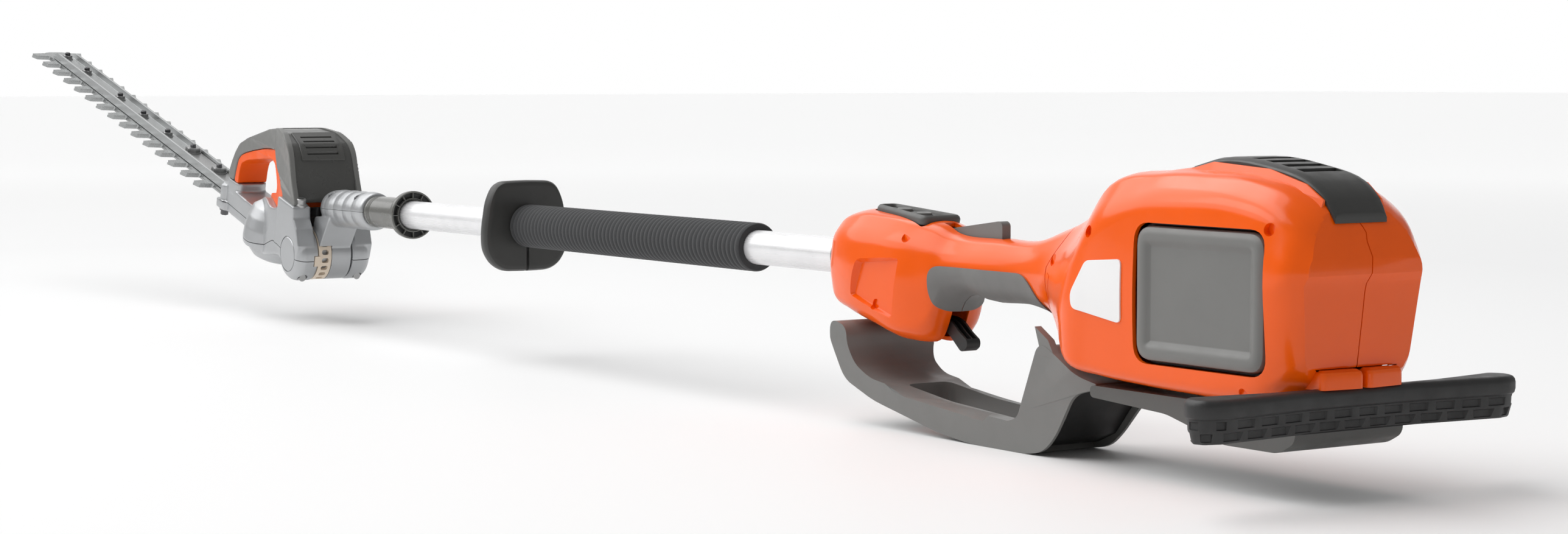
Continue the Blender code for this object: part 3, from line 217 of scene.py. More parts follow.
# Pieces on the pole: the bore that slides over it, the foam, and the sleeve's hollow end as (radius, x)
SNUG = 12.8
FOAM_ENDS = (90.0, 443.0)
FOAM_RADII = (17.0, 17.8)
FOAM_RIBS = 60
SPOKE_COUNT = 12
SLEEVE_FLANGE = (
    (14.4, 676), (14.9, 672), (16.6, 668.5), (20.2, 666.2), (21.3, 665), (21.5, 663.5), (21.5, 659.8),
    (20.9, 659.0), (20.0, 659.2), (19.8, 662.6), (15.6, 663.2), (15.3, 659.8), (14.6, 659.6), (14.4, 662.8),
    (SNUG, 663),
)
CLAMP_SCREWS = [(x, y) for x in (755, 812) for y in (-10.5, 10.5)]

HINGE_POINT = (853.5, 0.0, -43.8)
PIN_RADIUS = 8.0
PIN_PLAY = 0.05
RING_RADII = (21.7, 25.0)
RING_Y = (3.8, 16.6)
RING_SLOTS = 20
LOCK_PHASE = math.radians(142.0) - HEAD_TILT
LOBE_RADIUS = 25.5
LOBE_Y = (17.5, 38.2)
MOTOR_U = 50.0
CRANK_U = 90.0
NECK_OUTLINE = ((804, -8), (817.5, -22.6), (829, -37), (834, -48), (860, -48), (846, -24), (838, -8))

# Head outlines, as (u, w) or for plans (u, y)
ARM_OUTLINE = ((-22, 14), (-13.5, 28.6), (-5.3, 36), (-2.7, 47), (34, 47), (34, 0), (-20, 0))
LINK_OUTLINE = ((0, 20), (45, 20), (45, -14), (38.6, -12.5), (24.7, -9.1), (10, -15))
GEARBOX_PLAN = ((20, 36), (46, 37.5), (60, 36), (84, 29), (109, 25), (137, 17.3))
DOME_PROFILE = (
    (0, -20.3), (41.5, -20.3), (42.2, -14.3), (41.2, -2.3), (38.5, 8.7), (34, 18.7), (27, 25.7), (16, 30.3),
    (0, 31.6),
)
BOWL_PROFILE = ((0, -34.5), (24, -34.5), (31, -31), (36, -24), (37, -18), (0, -18))
FRONT_PLAN = ((112, -18.2), (222, -15.5), (222, 15.5), (112, 18.2))
POST_PLAN = ((181, -16.5), (212, -16.5), (212, 16.5), (181, 16.5))
FLANGE_PLAN = ((204, -20), (226, -20), (226, 20), (204, 20))
GEAR_ROOM_PROFILE = ((0, -19), (34.7, -19), (34.7, 4.4), (22, 4.4), (22, 10), (0, 10))
MOTOR_SEAT_PLAN = ((12, -30), (74, -26), (74, 26), (12, 30))
YOKE_ROOM_PLAN = ((58, 27.5), (114.6, 27.5), (128.6, 13.2), (128.6, -13.2), (114.6, -27.5), (58, -27.5))
FLANGE_BOLT_U = 214
FLANGE_BOLT_Y = (-14, 14)
LOBE_SCREW_Y = (-28, 28)
LOBE_SCREW_W = -19
BODY_OUTLINE = (
    (31, 47), (34, 36), (46, 31), (80, 31), (89.4, 29), (111, 16), (126.5, 6.8), (133, -6), (133.8, -19),
    (126, -24.6), (87, -24.6), (61, -20.9), (38.6, -12.5), (31, -10),
)
SPLIT_LINE = (
    (-40, 0), (10, 0), (27, 1.5), (40, 0.8), (54.5, -7.1), (62, -11.0), (70, -12.8), (84, -15),
    (101.6, -15.6), (118, -13), (250, -12.7),
)
COVER_OUTLINE = (
    (5, 47.4), (14, 68), (26, 90), (34, 97), (54, 102.5), (78, 100.5), (96, 95.5), (96, 74), (84, 62),
    (66, 50), (60, 47.4),
)
COVER_HOLLOW = (
    (7, 36), (18.4, 67.3), (29.4, 87.8), (36.3, 93.2), (54.2, 98.8), (77.7, 96.8), (91, 92.9), (91, 75),
    (80.5, 65), (62.5, 53.2), (56, 50.3), (56, 36),
)
# A panel raised by about a millimetre on the cover's shoulder
PANEL_OUTLINE = (
    (21.6, 86.2), (25.2, 91.0), (33.6, 98.4), (53.8, 104.0), (53.8, 101), (34, 95.5), (26.5, 88.5),
    (22.9, 83.9),
)
COVER_GROOVES = ((25.8, 91.0), (31.0, 95.6), (37.5, 99.0), (45.0, 101.4))
# Half the width of the cover and bow: stations on u, and the width at each
COVER_HALF_WIDTH = ((0, 40, 96, 118, 132, 215), (36.0, 34.5, 20.0, 16.8, 16.2, 15.8))
CHEEK_OUTLINE = (
    (-1.6, 47.2), (13, 68), (25.5, 91), (34, 98), (54, 103.4), (78, 101.4), (97, 96), (98, 88), (88.4, 78.6),
    (80, 71), (69, 64.7), (56, 61), (42, 57), (33, 50), (28, 37), (12, 43),
)
CHEEK_ROOM = (
    (-12, 30), (-12, 48), (2, 70), (16, 100), (34, 120), (70, 125), (93, 120), (93, 70), (84, 62), (66, 50),
    (60, 30),
)
BOW_OUTLINE = (
    (90, 97), (96, 96), (118, 89), (142, 78), (169, 65.5), (188, 54.7), (197.5, 43), (204, 31), (211, 13.5),
    (194.3, 13.5), (191, 28.5), (187.8, 38.4), (182, 44), (172, 49.4), (151, 58), (126, 67), (97, 75),
    (88, 76),
)
LINING_OUTLINE = (
    (28.5, 36), (34, 50), (43, 57), (57, 61.5), (70, 65), (81, 71.5), (88, 77), (97, 74.6), (126, 66.6),
    (151, 57.6), (172, 49), (182, 43.6), (187.4, 38), (190.6, 28.3), (194, 13.5), (184, 13.5), (183, 27),
    (180, 36), (167, 43), (143, 51), (118, 58.5), (98, 64), (88, 66), (78, 62), (68, 56), (59, 48), (62, 40),
    (86, 34), (88, 29.5), (64, 30.8), (45, 31),
)

# Each knife's name, shift along the bar, underside, top, and half the size of the window in its yoke
KNIVES = (("upper_knife", 0.0, -9.7, -7.2, 18.5), ("lower_knife", 2.0, -12.3, -10.0, 12.5))
CHANNEL_LOW = -6.8
CHANNEL_HIGH = 2.5
CHANNEL_HALF = 11.5
CHANNEL_WALL = 2.4
THREAD_RADIUS = 3.05
ROOT_BOLTS = 2

CAMERA_SPOT = (-1625.0, 1106.7, 124.0)
CAMERA_YAW = math.radians(-33.361)
CAMERA_PITCH = math.radians(-3.879)
CAMERA_LENS = 64.54
# Each lamp's name, place, target, power in watts and size, in metres
LAMPS = (
    ("key", (0.9, 2.4, 2.4), (-0.3, 0.0, 0.1), 20.0, (3.0, 1.4)),
    ("top", (0.1, 0.3, 2.3), (-0.1, 0.0, 0.0), 14.0, (4.0, 1.0)),
)
CEILING_POWER = 2.0
CEILING_ANGLE = math.radians(75.0)
CEILING_DIRECTION = (0.6, 0.45, 0.9)
# The studio: a bright wall in one direction, and a dimmer room around it
WALL_DIRECTION = (0.835, -0.55, 0.0)
WALL_EDGE = (0.72, 0.9)
WALL_STRENGTH = 1.0
ROOM_STRENGTH = 0.28
# The floor glows faintly beyond the lamps' reach, in metres from the machine, so that it meets the wall
GLOW_EDGE = (1.6, 4.5)
GLOW_STRENGTH = 0.17
FLOOR_REACH = 30000.0
PAPER = (0.93, 0.93, 0.93)
COAT_ROUGHNESS = 0.06
# The part of a noise's range that most of its values lie in
NOISE_RANGE = (0.3, 0.7)

# Turns that stand a flat outline up in each plane of a local frame
PLANES = {
    "XY": Matrix.Identity(4),
    "XZ": Matrix(((1, 0, 0, 0), (0, 0, -1, 0), (0, 1, 0, 0), (0, 0, 0, 1))),
    "YZ": Matrix(((0, 0, 1, 0), (1, 0, 0, 0), (0, 1, 0, 0), (0, 0, 0, 1))),
}


# ---------------------------------------------------------------- shapes

def new_object(name, shape, place):
    """An object at the row frame's origin from a bmesh drawn in one of the local frames."""
    bmesh.ops.transform(shape, matrix=place, verts=shape.verts)
    bmesh.ops.recalc_face_normals(shape, faces=shape.faces)
    mesh = bpy.data.meshes.new(name)
    shape.to_mesh(mesh)
    shape.free()
    item = bpy.data.objects.new(name, mesh)
    bpy.context.scene.collection.objects.link(item)
    return item


def bend(start, corner, end, steps):
    """The points of a smooth bend from start to end, drawn towards a corner."""
    shares = [step / steps for step in range(steps + 1)]
    return [start * (1 - t) ** 2 + corner * 2 * t * (1 - t) + end * t ** 2 for t in shares]


def rounded(points, radius, steps=6):
    """A closed outline with each corner replaced by a bend of about the given radius."""
    result = []
    for i, corner in enumerate(points):
        here = Vector(corner)
        back = Vector(points[i - 1]) - here
        ahead = Vector(points[(i + 1) % len(points)]) - here
        reach = min(radius, 0.48 * back.length, 0.48 * ahead.length)
        start = here + back.normalized() * reach
        end = here + ahead.normalized() * reach
        result += [tuple(point) for point in bend(start, here, end, steps)]
    return result


def filleted(points, share, steps):
    """An open outline with each inner corner replaced by a bend that takes a share of its neighbours."""
    points = [Vector(p) for p in points]
    result = [points[0]]
    for back, here, ahead in zip(points, points[1:], points[2:]):
        reach = share * min((back - here).length, (ahead - here).length)
        start = here + (back - here).normalized() * reach
        end = here + (ahead - here).normalized() * reach
        result += bend(start, here, end, steps)
    result.append(points[-1])
    return result


def rectangle(low, high):
    """A rectangle's outline from its lowest and highest corners."""
    return ((low[0], low[1]), (high[0], low[1]), (high[0], high[1]), (low[0], high[1]))


def mirrored(half):
    """A closed outline from its half, whose first and last points lie on the middle line."""
    return list(half) + [(a, -b) for a, b in reversed(half[1:-1])]


def across(half):
    """A closed outline from its left half, none of whose points lie on the middle line."""
    return list(half) + [(a, -b) for a, b in reversed(half)]


def inset(points, distance):
    """A closed outline moved inwards by a distance."""
    corners = [Vector(p) for p in points]
    area = sum(a.x * b.y - b.x * a.y for a, b in zip(corners, corners[1:] + corners[:1]))
    side = 1.0 if area > 0 else -1.0
    result = []
    for i, here in enumerate(corners):
        before = (here - corners[i - 1]).normalized()
        after = (corners[(i + 1) % len(corners)] - here).normalized()
        normal = Vector((-before.y - after.y, before.x + after.x)) * side
        if normal.length > TINY:
            here = here + normal.normalized() * (distance / max(0.4, normal.length / 2))
        result.append(tuple(here))
    return result


def plate(name, plane, loops, low, high, place, bevel=0.0, segments=3):
    """A flat outline, with holes, given thickness from low to high across its plane."""
    curve = bpy.data.curves.new(name, "CURVE")
    curve.dimensions = "2D"
    curve.fill_mode = "BOTH"
    curve.extrude = (high - low) / 2
    for loop in loops:
        spline = curve.splines.new("POLY")
        spline.points.add(len(loop) - 1)
        for point, spot in zip(spline.points, loop):
            point.co = (spot[0], spot[1], 0.0, 1.0)
        spline.use_cyclic_u = True
    guide = bpy.data.objects.new(name, curve)
    bpy.context.scene.collection.objects.link(guide)
    bpy.context.view_layer.update()
    flat = bpy.data.meshes.new_from_object(guide.evaluated_get(bpy.context.evaluated_depsgraph_get()))
    bpy.data.objects.remove(guide, do_unlink=True)
    shape = bmesh.new()
    shape.from_mesh(flat)
    bmesh.ops.remove_doubles(shape, verts=shape.verts, dist=0.001)
    turn = PLANES[plane]
    across = turn.to_3x3() @ Vector((0.0, 0.0, 1.0))
    facing = 1.0 if sum(across) > 0 else -1.0
    middle = across * facing * (low + high) / 2
    item = new_object(name, shape, place @ Matrix.Translation(middle) @ turn)
    if bevel:
        add_bevel(item, bevel, segments)
    return item


def solid_loft(name, rings, place):
    """A closed skin through rings of points, with a face at both ends."""
    shape = bmesh.new()
    rows = [[shape.verts.new(point) for point in ring] for ring in rings]
    count = len(rows[0])
    for first, second in zip(rows, rows[1:]):
        for i in range(count):
            j = (i + 1) % count
            shape.faces.new((first[i], first[j], second[j], second[i]))
    shape.faces.new(rows[0])
    shape.faces.new(rows[-1])
    return new_object(name, shape, place)


def stack(name, corners, radius, layers, axis, place):
    """A block whose rounded outline is inset by each layer's first value at the height of its second."""
    orders = {"X": lambda a, b, h: (h, a, b), "Y": lambda a, b, h: (a, h, b), "Z": lambda a, b, h: (a, b, h)}
    order = orders[axis]
    rings = []
    for depth, height in layers:
        ring = rounded(inset(corners, depth), max(radius - depth, 0.6))
        rings.append([order(a, b, height) for a, b in ring])
    return solid_loft(name, rings, place)


def turned(name, axis, profile, place, steps=64, at=(0.0, 0.0, 0.0)):
    """A turned piece from a closed or axis-ended profile of (radius, height along the axis)."""
    shape = bmesh.new()
    swing = {"X": lambda r, h, c, s: (h, r * c, r * s), "Y": lambda r, h, c, s: (r * c, h, r * s),
             "Z": lambda r, h, c, s: (r * c, r * s, h)}[axis]
    rings = []
    for radius, height in profile:
        if radius < TINY:
            rings.append([shape.verts.new(Vector(swing(0, height, 1, 0)) + Vector(at))])
            continue
        rings.append([shape.verts.new(Vector(swing(radius, height, math.cos(a), math.sin(a))) + Vector(at))
                      for a in np.linspace(0, 2 * math.pi, steps, endpoint=False)])
    pairs = list(zip(rings, rings[1:]))
    if len(rings[0]) > 1 and len(rings[-1]) > 1:
        pairs.append((rings[-1], rings[0]))
    for first, second in pairs:
        for i in range(steps):
            j = (i + 1) % steps
            corners = [first[i % len(first)], first[j % len(first)]]
            corners += [second[j % len(second)], second[i % len(second)]]
            unique = list(dict.fromkeys(corners))
            if len(unique) > 2:
                shape.faces.new(unique)
    return new_object(name, shape, place)


def rod(name, axis, start, end, radius, place, at=(0.0, 0.0), sides=32):
    """A cylinder along an axis; at is its place across the axis."""
    spot = {"X": (0.0, at[0], at[1]), "Y": (at[0], 0.0, at[1]), "Z": (at[0], at[1], 0.0)}[axis]
    return turned(name, axis, ((0, start), (radius, start), (radius, end), (0, end)), place, sides, spot)


def box(name, low, high, place, bevel=0.0):
    """A block from its lowest corner to its highest."""
    shape = bmesh.new()
    bmesh.ops.create_cube(shape, size=1.0)
    bmesh.ops.scale(shape, vec=[b - a for a, b in zip(low, high)], verts=shape.verts)
    bmesh.ops.translate(shape, vec=[(a + b) / 2 for a, b in zip(low, high)], verts=shape.verts)
    item = new_object(name, shape, place)
    if bevel:
        add_bevel(item, bevel)
    return item


def hermite(rows, steps):
    """Rows of points joined by smooth cubic stretches, with steps new rows in each stretch."""
    rows = np.array(rows, dtype=float)
    chords = np.linalg.norm(np.diff(rows, axis=0).reshape(len(rows) - 1, -1), axis=1)
    knots = np.concatenate([[0.0], np.cumsum(chords)])
    slopes = np.gradient(rows, knots, axis=0)
    result = []
    for i in range(len(rows) - 1):
        span = knots[i + 1] - knots[i]
        for step in range(steps):
            t = step / steps
            result.append(rows[i] * (1 + 2 * t) * (1 - t) ** 2 + rows[i + 1] * t * t * (3 - 2 * t)
                          + slopes[i] * span * t * (1 - t) ** 2 + slopes[i + 1] * span * t * t * (t - 1))
    result.append(rows[-1])
    return np.array(result)


# ---------------------------------------------------------------- modifiers

def add_bevel(item, width, segments=3):
    """Round the edges where faces meet at a clear angle."""
    bevel = item.modifiers.new("edges", "BEVEL")
    bevel.width = width * MM
    bevel.segments = segments
    bevel.limit_method = "ANGLE"
    bevel.angle_limit = BEVEL_ANGLE
    bevel.use_clamp_overlap = True
    bevel.harden_normals = False


def combine(item, others, operation):
    """Apply a boolean with other forms to an item, then remove the forms that no other piece uses."""
    for other in others:
        change = item.modifiers.new(other.name, "BOOLEAN")
        change.operation = operation
        change.object = other
        change.solver = "EXACT"
    bake(item)
    for other in others:
        if other.get("kept") is None:
            bpy.data.objects.remove(other, do_unlink=True)


def cut(item, *cutters):
    """Take the cutters' space out of an item."""
    combine(item, cutters, "DIFFERENCE")


def join(item, *others):
    """Make one form of an item and others that it overlaps."""
    combine(item, others, "UNION")


def keep_common(item, *others):
    """Keep only what an item shares with the others."""
    combine(item, others, "INTERSECT")


def keep(item):
    """Mark a form that several pieces use, so that it isn't removed after its first use."""
    item["kept"] = True
    return item


def copy_of(item, name):
    """A second object with the same mesh, which can be changed on its own."""
    twin = bpy.data.objects.new(name, item.data.copy())
    bpy.context.scene.collection.objects.link(twin)
    return twin


def bake(item):
    """Replace a piece's mesh with what its modifiers make of it."""
    bpy.context.view_layer.update()
    graph = bpy.context.evaluated_depsgraph_get()
    mesh = bpy.data.meshes.new_from_object(item.evaluated_get(graph))
    item.modifiers.clear()
    item.data = mesh


def cast(item, voxel, rounds):
    """Round every edge and inner corner a little, the way a casting or moulding is rounded."""
    remesh = item.modifiers.new("voxels", "REMESH")
    remesh.mode = "VOXEL"
    remesh.voxel_size = voxel * MM
    remesh.use_smooth_shade = True
    smooth = item.modifiers.new("fillets", "SMOOTH")
    smooth.factor = 0.5
    smooth.iterations = rounds
    bake(item)


def drop(*items):
    """Remove forms that are no longer used."""
    for item in items:
        bpy.data.objects.remove(item, do_unlink=True)


def span(side, near, far):
    """The low and high ends of a stretch from near to far on one side of the middle, 1 left or -1 right."""
    return sorted((side * near, side * far))


# ---------------------------------------------------------------- materials

def add_node(tree, kind, **inputs):
    """A shader node with some of its inputs set; a _ in a name stands for a space."""
    node = tree.nodes.new(f"ShaderNode{kind}")
    for name, value in inputs.items():
        node.inputs[name.replace("_", " ")].default_value = value
    return node


def start_material(name, colour, roughness, metallic=0.0, coat=0.0, specular=0.5):
    """A Principled material and its node tree, with what is even over the surface set on the sockets."""
    material = bpy.data.materials.new(name)
    material.use_nodes = True
    tree = material.node_tree
    shader = tree.nodes["Principled BSDF"]
    shader.inputs["Base Color"].default_value = (*colour, 1.0)
    shader.inputs["Roughness"].default_value = roughness
    shader.inputs["Metallic"].default_value = metallic
    shader.inputs["Coat Weight"].default_value = coat
    shader.inputs["Coat Roughness"].default_value = COAT_ROUGHNESS
    shader.inputs["Specular IOR Level"].default_value = specular
    return material, tree, shader


def add_noise(tree, scale, detail=3.0, stretch=(1.0, 1.0, 1.0)):
    """Noise in object coordinates, in cells per metre, stretched by axis."""
    place = add_node(tree, "TexCoord")
    mapping = add_node(tree, "Mapping", Scale=stretch)
    noise = add_node(tree, "TexNoise", Scale=scale, Detail=detail)
    tree.links.new(place.outputs["Object"], mapping.inputs["Vector"])
    tree.links.new(mapping.outputs["Vector"], noise.inputs["Vector"])
    return noise.outputs["Fac"]


def spread(tree, source, start, end):
    """A value that goes through the pair end while the source goes through the pair start."""
    ramp = add_node(tree, "MapRange", From_Min=start[0], From_Max=start[1], To_Min=end[0], To_Max=end[1])
    tree.links.new(source, ramp.inputs["Value"])
    return ramp.outputs["Result"]


def vary_roughness(tree, shader, source, low, high):
    """Roughness that follows a noise between low and high."""
    tree.links.new(spread(tree, source, NOISE_RANGE, (low, high)), shader.inputs["Roughness"])


def tint(tree, source, colour, depth):
    """The colour, a little darker or lighter with the source."""
    mix = add_node(tree, "Mix")
    mix.data_type = "RGBA"
    dark = tuple(max(0.0, c * (1 - depth)) for c in colour)
    light = tuple(min(1.0, c * (1 + depth)) for c in colour)
    mix.inputs[6].default_value = (*dark, 1.0)
    mix.inputs[7].default_value = (*light, 1.0)
    tree.links.new(source, mix.inputs[0])
    return mix.outputs[2]


def add_bump(tree, shader, source, distance):
    """Bumps that follow the source, up to a distance in millimetres."""
    bump = add_node(tree, "Bump", Distance=distance * MM, Strength=1.0)
    tree.links.new(source, bump.inputs["Height"])
    tree.links.new(bump.outputs["Normal"], shader.inputs["Normal"])


def moulded(name, colour, roughness, grain=0.0, coat=0.0, specular=0.5):
    """Moulded plastic: faint flow marks in the colour, handling marks in the gloss, and fine grain."""
    material, tree, shader = start_material(name, colour, roughness, 0.0, coat, specular)
    flow = add_noise(tree, 22.0, 2.0)
    tree.links.new(tint(tree, flow, colour, 0.05), shader.inputs["Base Color"])
    marks = add_noise(tree, 90.0, 4.0)
    vary_roughness(tree, shader, marks, roughness * 0.85, roughness * 1.2)
    fine = add_noise(tree, 1500.0 if grain else 160.0, 2.0)
    add_bump(tree, shader, fine, grain or 0.01)
    return material


def cast_metal(name, colour, roughness, metallic):
    """Silver paint over a die casting: a slight orange peel and a fine sparkle."""
    material, tree, shader = start_material(name, colour, roughness, metallic, coat=0.1)
    cloud = add_noise(tree, 35.0, 3.0)
    tree.links.new(tint(tree, cloud, colour, 0.06), shader.inputs["Base Color"])
    flake = add_noise(tree, 2600.0, 1.0)
    vary_roughness(tree, shader, flake, roughness * 0.8, roughness * 1.25)
    peel = add_noise(tree, 420.0, 2.0)
    add_bump(tree, shader, peel, 0.03)
    return material


def brushed(name, colour, roughness, stretch, metallic=1.0, scratch=0.012):
    """Metal with fine lines along one axis."""
    material, tree, shader = start_material(name, colour, roughness, metallic)
    lines = add_noise(tree, 900.0, 3.0, stretch)
    vary_roughness(tree, shader, lines, roughness * 0.75, roughness * 1.3)
    cloud = add_noise(tree, 60.0, 2.0)
    tree.links.new(tint(tree, cloud, colour, 0.07), shader.inputs["Base Color"])
    add_bump(tree, shader, lines, scratch)
    return material


def foam_material():
    """Closed-cell foam: dull, with small pores."""
    colour = (0.045, 0.046, 0.048)
    material, tree, shader = start_material("foam", colour, 0.85, 0.0, specular=0.25)
    pores = add_noise(tree, 1800.0, 3.0)
    tree.links.new(tint(tree, pores, colour, 0.3), shader.inputs["Base Color"])
    shader.inputs["Sheen Weight"].default_value = 0.15
    add_bump(tree, shader, pores, 0.12)
    return material


def winding_material():
    """Lacquered copper wire laid in turns around the motor's core."""
    colour = (0.62, 0.25, 0.09)
    material, tree, shader = start_material("winding", colour, 0.35, 1.0)
    turns = add_noise(tree, 700.0, 1.0, (0.05, 0.05, 1.0))
    tree.links.new(tint(tree, turns, colour, 0.35), shader.inputs["Base Color"])
    add_bump(tree, shader, turns, 0.25)
    return material


def circuit_material():
    """Green board with a pattern of tracks."""
    colour = (0.02, 0.16, 0.06)
    material, tree, shader = start_material("circuit", colour, 0.4)
    place = add_node(tree, "TexCoord")
    tracks = add_node(tree, "TexVoronoi", Scale=260.0)
    tracks.distance = "MANHATTAN"
    tree.links.new(place.outputs["Object"], tracks.inputs["Vector"])
    tree.links.new(tint(tree, tracks.outputs["Distance"], colour, 0.6), shader.inputs["Base Color"])
    add_bump(tree, shader, tracks.outputs["Distance"], 0.1)
    return material


ORANGE = moulded("orange_gloss", (0.94, 0.112, 0.0), 0.2, coat=0.15, specular=0.35)
ORANGE_SATIN = moulded("orange_satin", (0.93, 0.11, 0.002), 0.42, grain=0.03, specular=0.3)
GRAY = moulded("gray_moulding", (0.18, 0.18, 0.173), 0.42, grain=0.035)
GRAY_SOFT = moulded("gray_soft", (0.19, 0.19, 0.185), 0.62, grain=0.03)
GRAY_DARK = moulded("gray_dark", (0.095, 0.095, 0.09), 0.42, grain=0.03)
COVER = moulded("cover_gloss", (0.075, 0.075, 0.071), 0.3, coat=0.15)
CHARCOAL = moulded("charcoal", (0.042, 0.042, 0.04), 0.4, grain=0.03)
BLACK = moulded("black_moulding", (0.016, 0.016, 0.016), 0.42, grain=0.03)
RUBBER = moulded("black_rubber", (0.026, 0.026, 0.026), 0.5, grain=0.04)
SLEEVE = moulded("sleeve_satin", (0.13, 0.13, 0.12), 0.25, coat=0.2)
LABEL = moulded("blank_label", (0.88, 0.88, 0.88), 0.35)
CREAM = moulded("cream_nylon", (0.78, 0.66, 0.53), 0.4)
CAST = cast_metal("silver_cast", (0.47, 0.48, 0.49), 0.36, 0.7)
POLE = brushed("pole_satin", (0.86, 0.86, 0.87), 0.3, (0.01, 1.0, 1.0), metallic=0.3, scratch=0.002)
CHANNEL = brushed("channel_aluminium", (0.44, 0.45, 0.45), 0.36, (0.03, 1.0, 1.0), metallic=0.7)
BLADE = brushed("blade_steel", (0.4, 0.41, 0.41), 0.28, (0.04, 1.0, 1.0))
BRIGHT = brushed("bright_steel", (0.78, 0.79, 0.79), 0.2, (1.0, 1.0, 0.1), metallic=0.9)
SCREW_STEEL = brushed("screw_steel", (0.42, 0.42, 0.42), 0.34, (1.0, 1.0, 0.1), metallic=0.8)
DARK_STEEL = brushed("dark_steel", (0.12, 0.12, 0.125), 0.35, (1.0, 1.0, 0.1))
FOAM = foam_material()
WINDING = winding_material()
CIRCUIT = circuit_material()


# ---------------------------------------------------------------- pieces

def show(item, body, material, nodes=(), smooth=32):
    """Finish a piece: bake it, shade it, and make it ride on its body in place of the nodes it stands for."""
    bake(item)
    mesh = item.data
    mesh.shade_smooth()
    mesh.set_sharp_from_angle(angle=math.radians(smooth))
    mesh.materials.clear()
    mesh.materials.append(material)
    for face in mesh.polygons:
        face.material_index = 0
    weighted = item.modifiers.new("normals", "WEIGHTED_NORMAL")
    weighted.keep_sharp = True
    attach(item, body)
    if nodes:
        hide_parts(*nodes)
    return item


def paint_node(node, material, bevel=0.0):
    """Give a frame node a finished material, and soften its edges."""
    item = frame["nodes"][node]
    item.data.materials.clear()
    item.data.materials.append(material)
    for face in item.data.polygons:
        face.material_index = 0
    if bevel:
        weld = item.modifiers.new("weld", "WELD")
        weld.merge_threshold = 0.00001
        add_bevel(item, bevel, 2)


# ---------------------------------------------------------------- rear unit

def skin_rings(grow=0.0, along=6, trim=0):
    """The rear unit's sections from front to back as closed rings, moved outwards by grow."""
    rows = hermite([[(row[0], p.x, p.y) for p in filleted(row[1:], 0.42, 4)] for row in SKIN], along)
    rings = []
    for row in rows[trim:len(rows) - trim]:
        half = [(y, z) for x, y, z in row]
        ring = half + [(-y, z) for y, z in reversed(half[1:-1])]
        if grow:
            ring = inset(ring, -grow)
        rings.append([(row[0][0], y, z) for y, z in ring])
    return rings


def spine_rings():
    """The raised spine that the vent cap sits in, from its wedge-shaped foot to the tail."""
    rows = [(-386.0, 17.0, 62.0, 69.6)]
    rows += [(x, half, low - 7.0, high - 2.4) for x, half, low, high in VENT_SECTIONS[:-1]]
    rings = []
    for x, half, low, high in rows:
        side = [(half + 5.0, low), (half + 5.0, low + 2.0), (half + 1.6, high)]
        rings.append([(x, y, z) for y, z in side] + [(x, -y, z) for y, z in reversed(side)])
    return rings


def dished_panel(side):
    """A cutter for the tapered recess in each cheek of the front housing."""
    return stack("dish", DISH_OUTLINE, 5, [(depth, side * y) for depth, y in DISH_LAYERS], "Y", MACHINE)


def outer_form():
    """The rear unit as one closed form: skin, trimmed tail, spine, dishes and tail ledges."""
    outer = solid_loft("outer_skin", skin_rings(), MACHINE)
    cut(outer, plate("tail_trim", "XZ", [TAIL_OUTLINE], -80, 80, MACHINE))
    join(outer, solid_loft("spine", spine_rings(), MACHINE))
    for name, side in SIDES:
        cut(outer, dished_panel(side))
        corners = [(x, side * y) for x, y in LEDGE_OUTLINE]
        join(outer, stack(f"{name}_ledge", corners, 4, LEDGE_LAYERS, "Z", MACHINE))
    return keep(outer)


def inner_form():
    """The space inside the shells, less the backs of the dishes and the bosses of the screws."""
    inside = solid_loft("inside", skin_rings(-SHELL_WALL, 3, 2), MACHINE)
    for name, side in SIDES:
        low, high = span(side, 25.6, 45.0)
        cut(inside, box(f"{name}_backing", (-136, low, -46), (-62, high, 12), MACHINE))
    for spot in SCREW_SPOTS:
        cut(inside, rod("boss", "Y", 12, WIDE, BOSS_RADIUS, MACHINE, spot, 24))
    return inside


def vent_hole():
    """A cutter for the opening that the vent cap fills."""
    sections = list(VENT_SECTIONS)
    sections[0] = (sections[0][0] + 0.5, *sections[0][1:])
    rings = []
    for x, half, low, high in sections:
        corners = rectangle((-half - 0.5, low - 0.5), (half + 0.5, high + 9))
        rings.append([(x, y, z) for y, z in corners])
    rings.append([(x - 8, y, z) for x, y, z in rings[-1]])
    return solid_loft("vent_hole", rings, MACHINE)


def cut_neck_seams(shell):
    """The short gaps where the neck's cover plates meet the body, through both walls."""
    for start, end in NECK_SEAMS:
        seam = [start, (start[0] + SEAM_WIDTH, start[1]), (end[0] + SEAM_WIDTH, end[1]), end]
        for name, side in SIDES:
            low, high = span(side, 14, WIDE)
            cut(shell, plate(f"{name}_seam", "XZ", [seam], low, high, MACHINE))


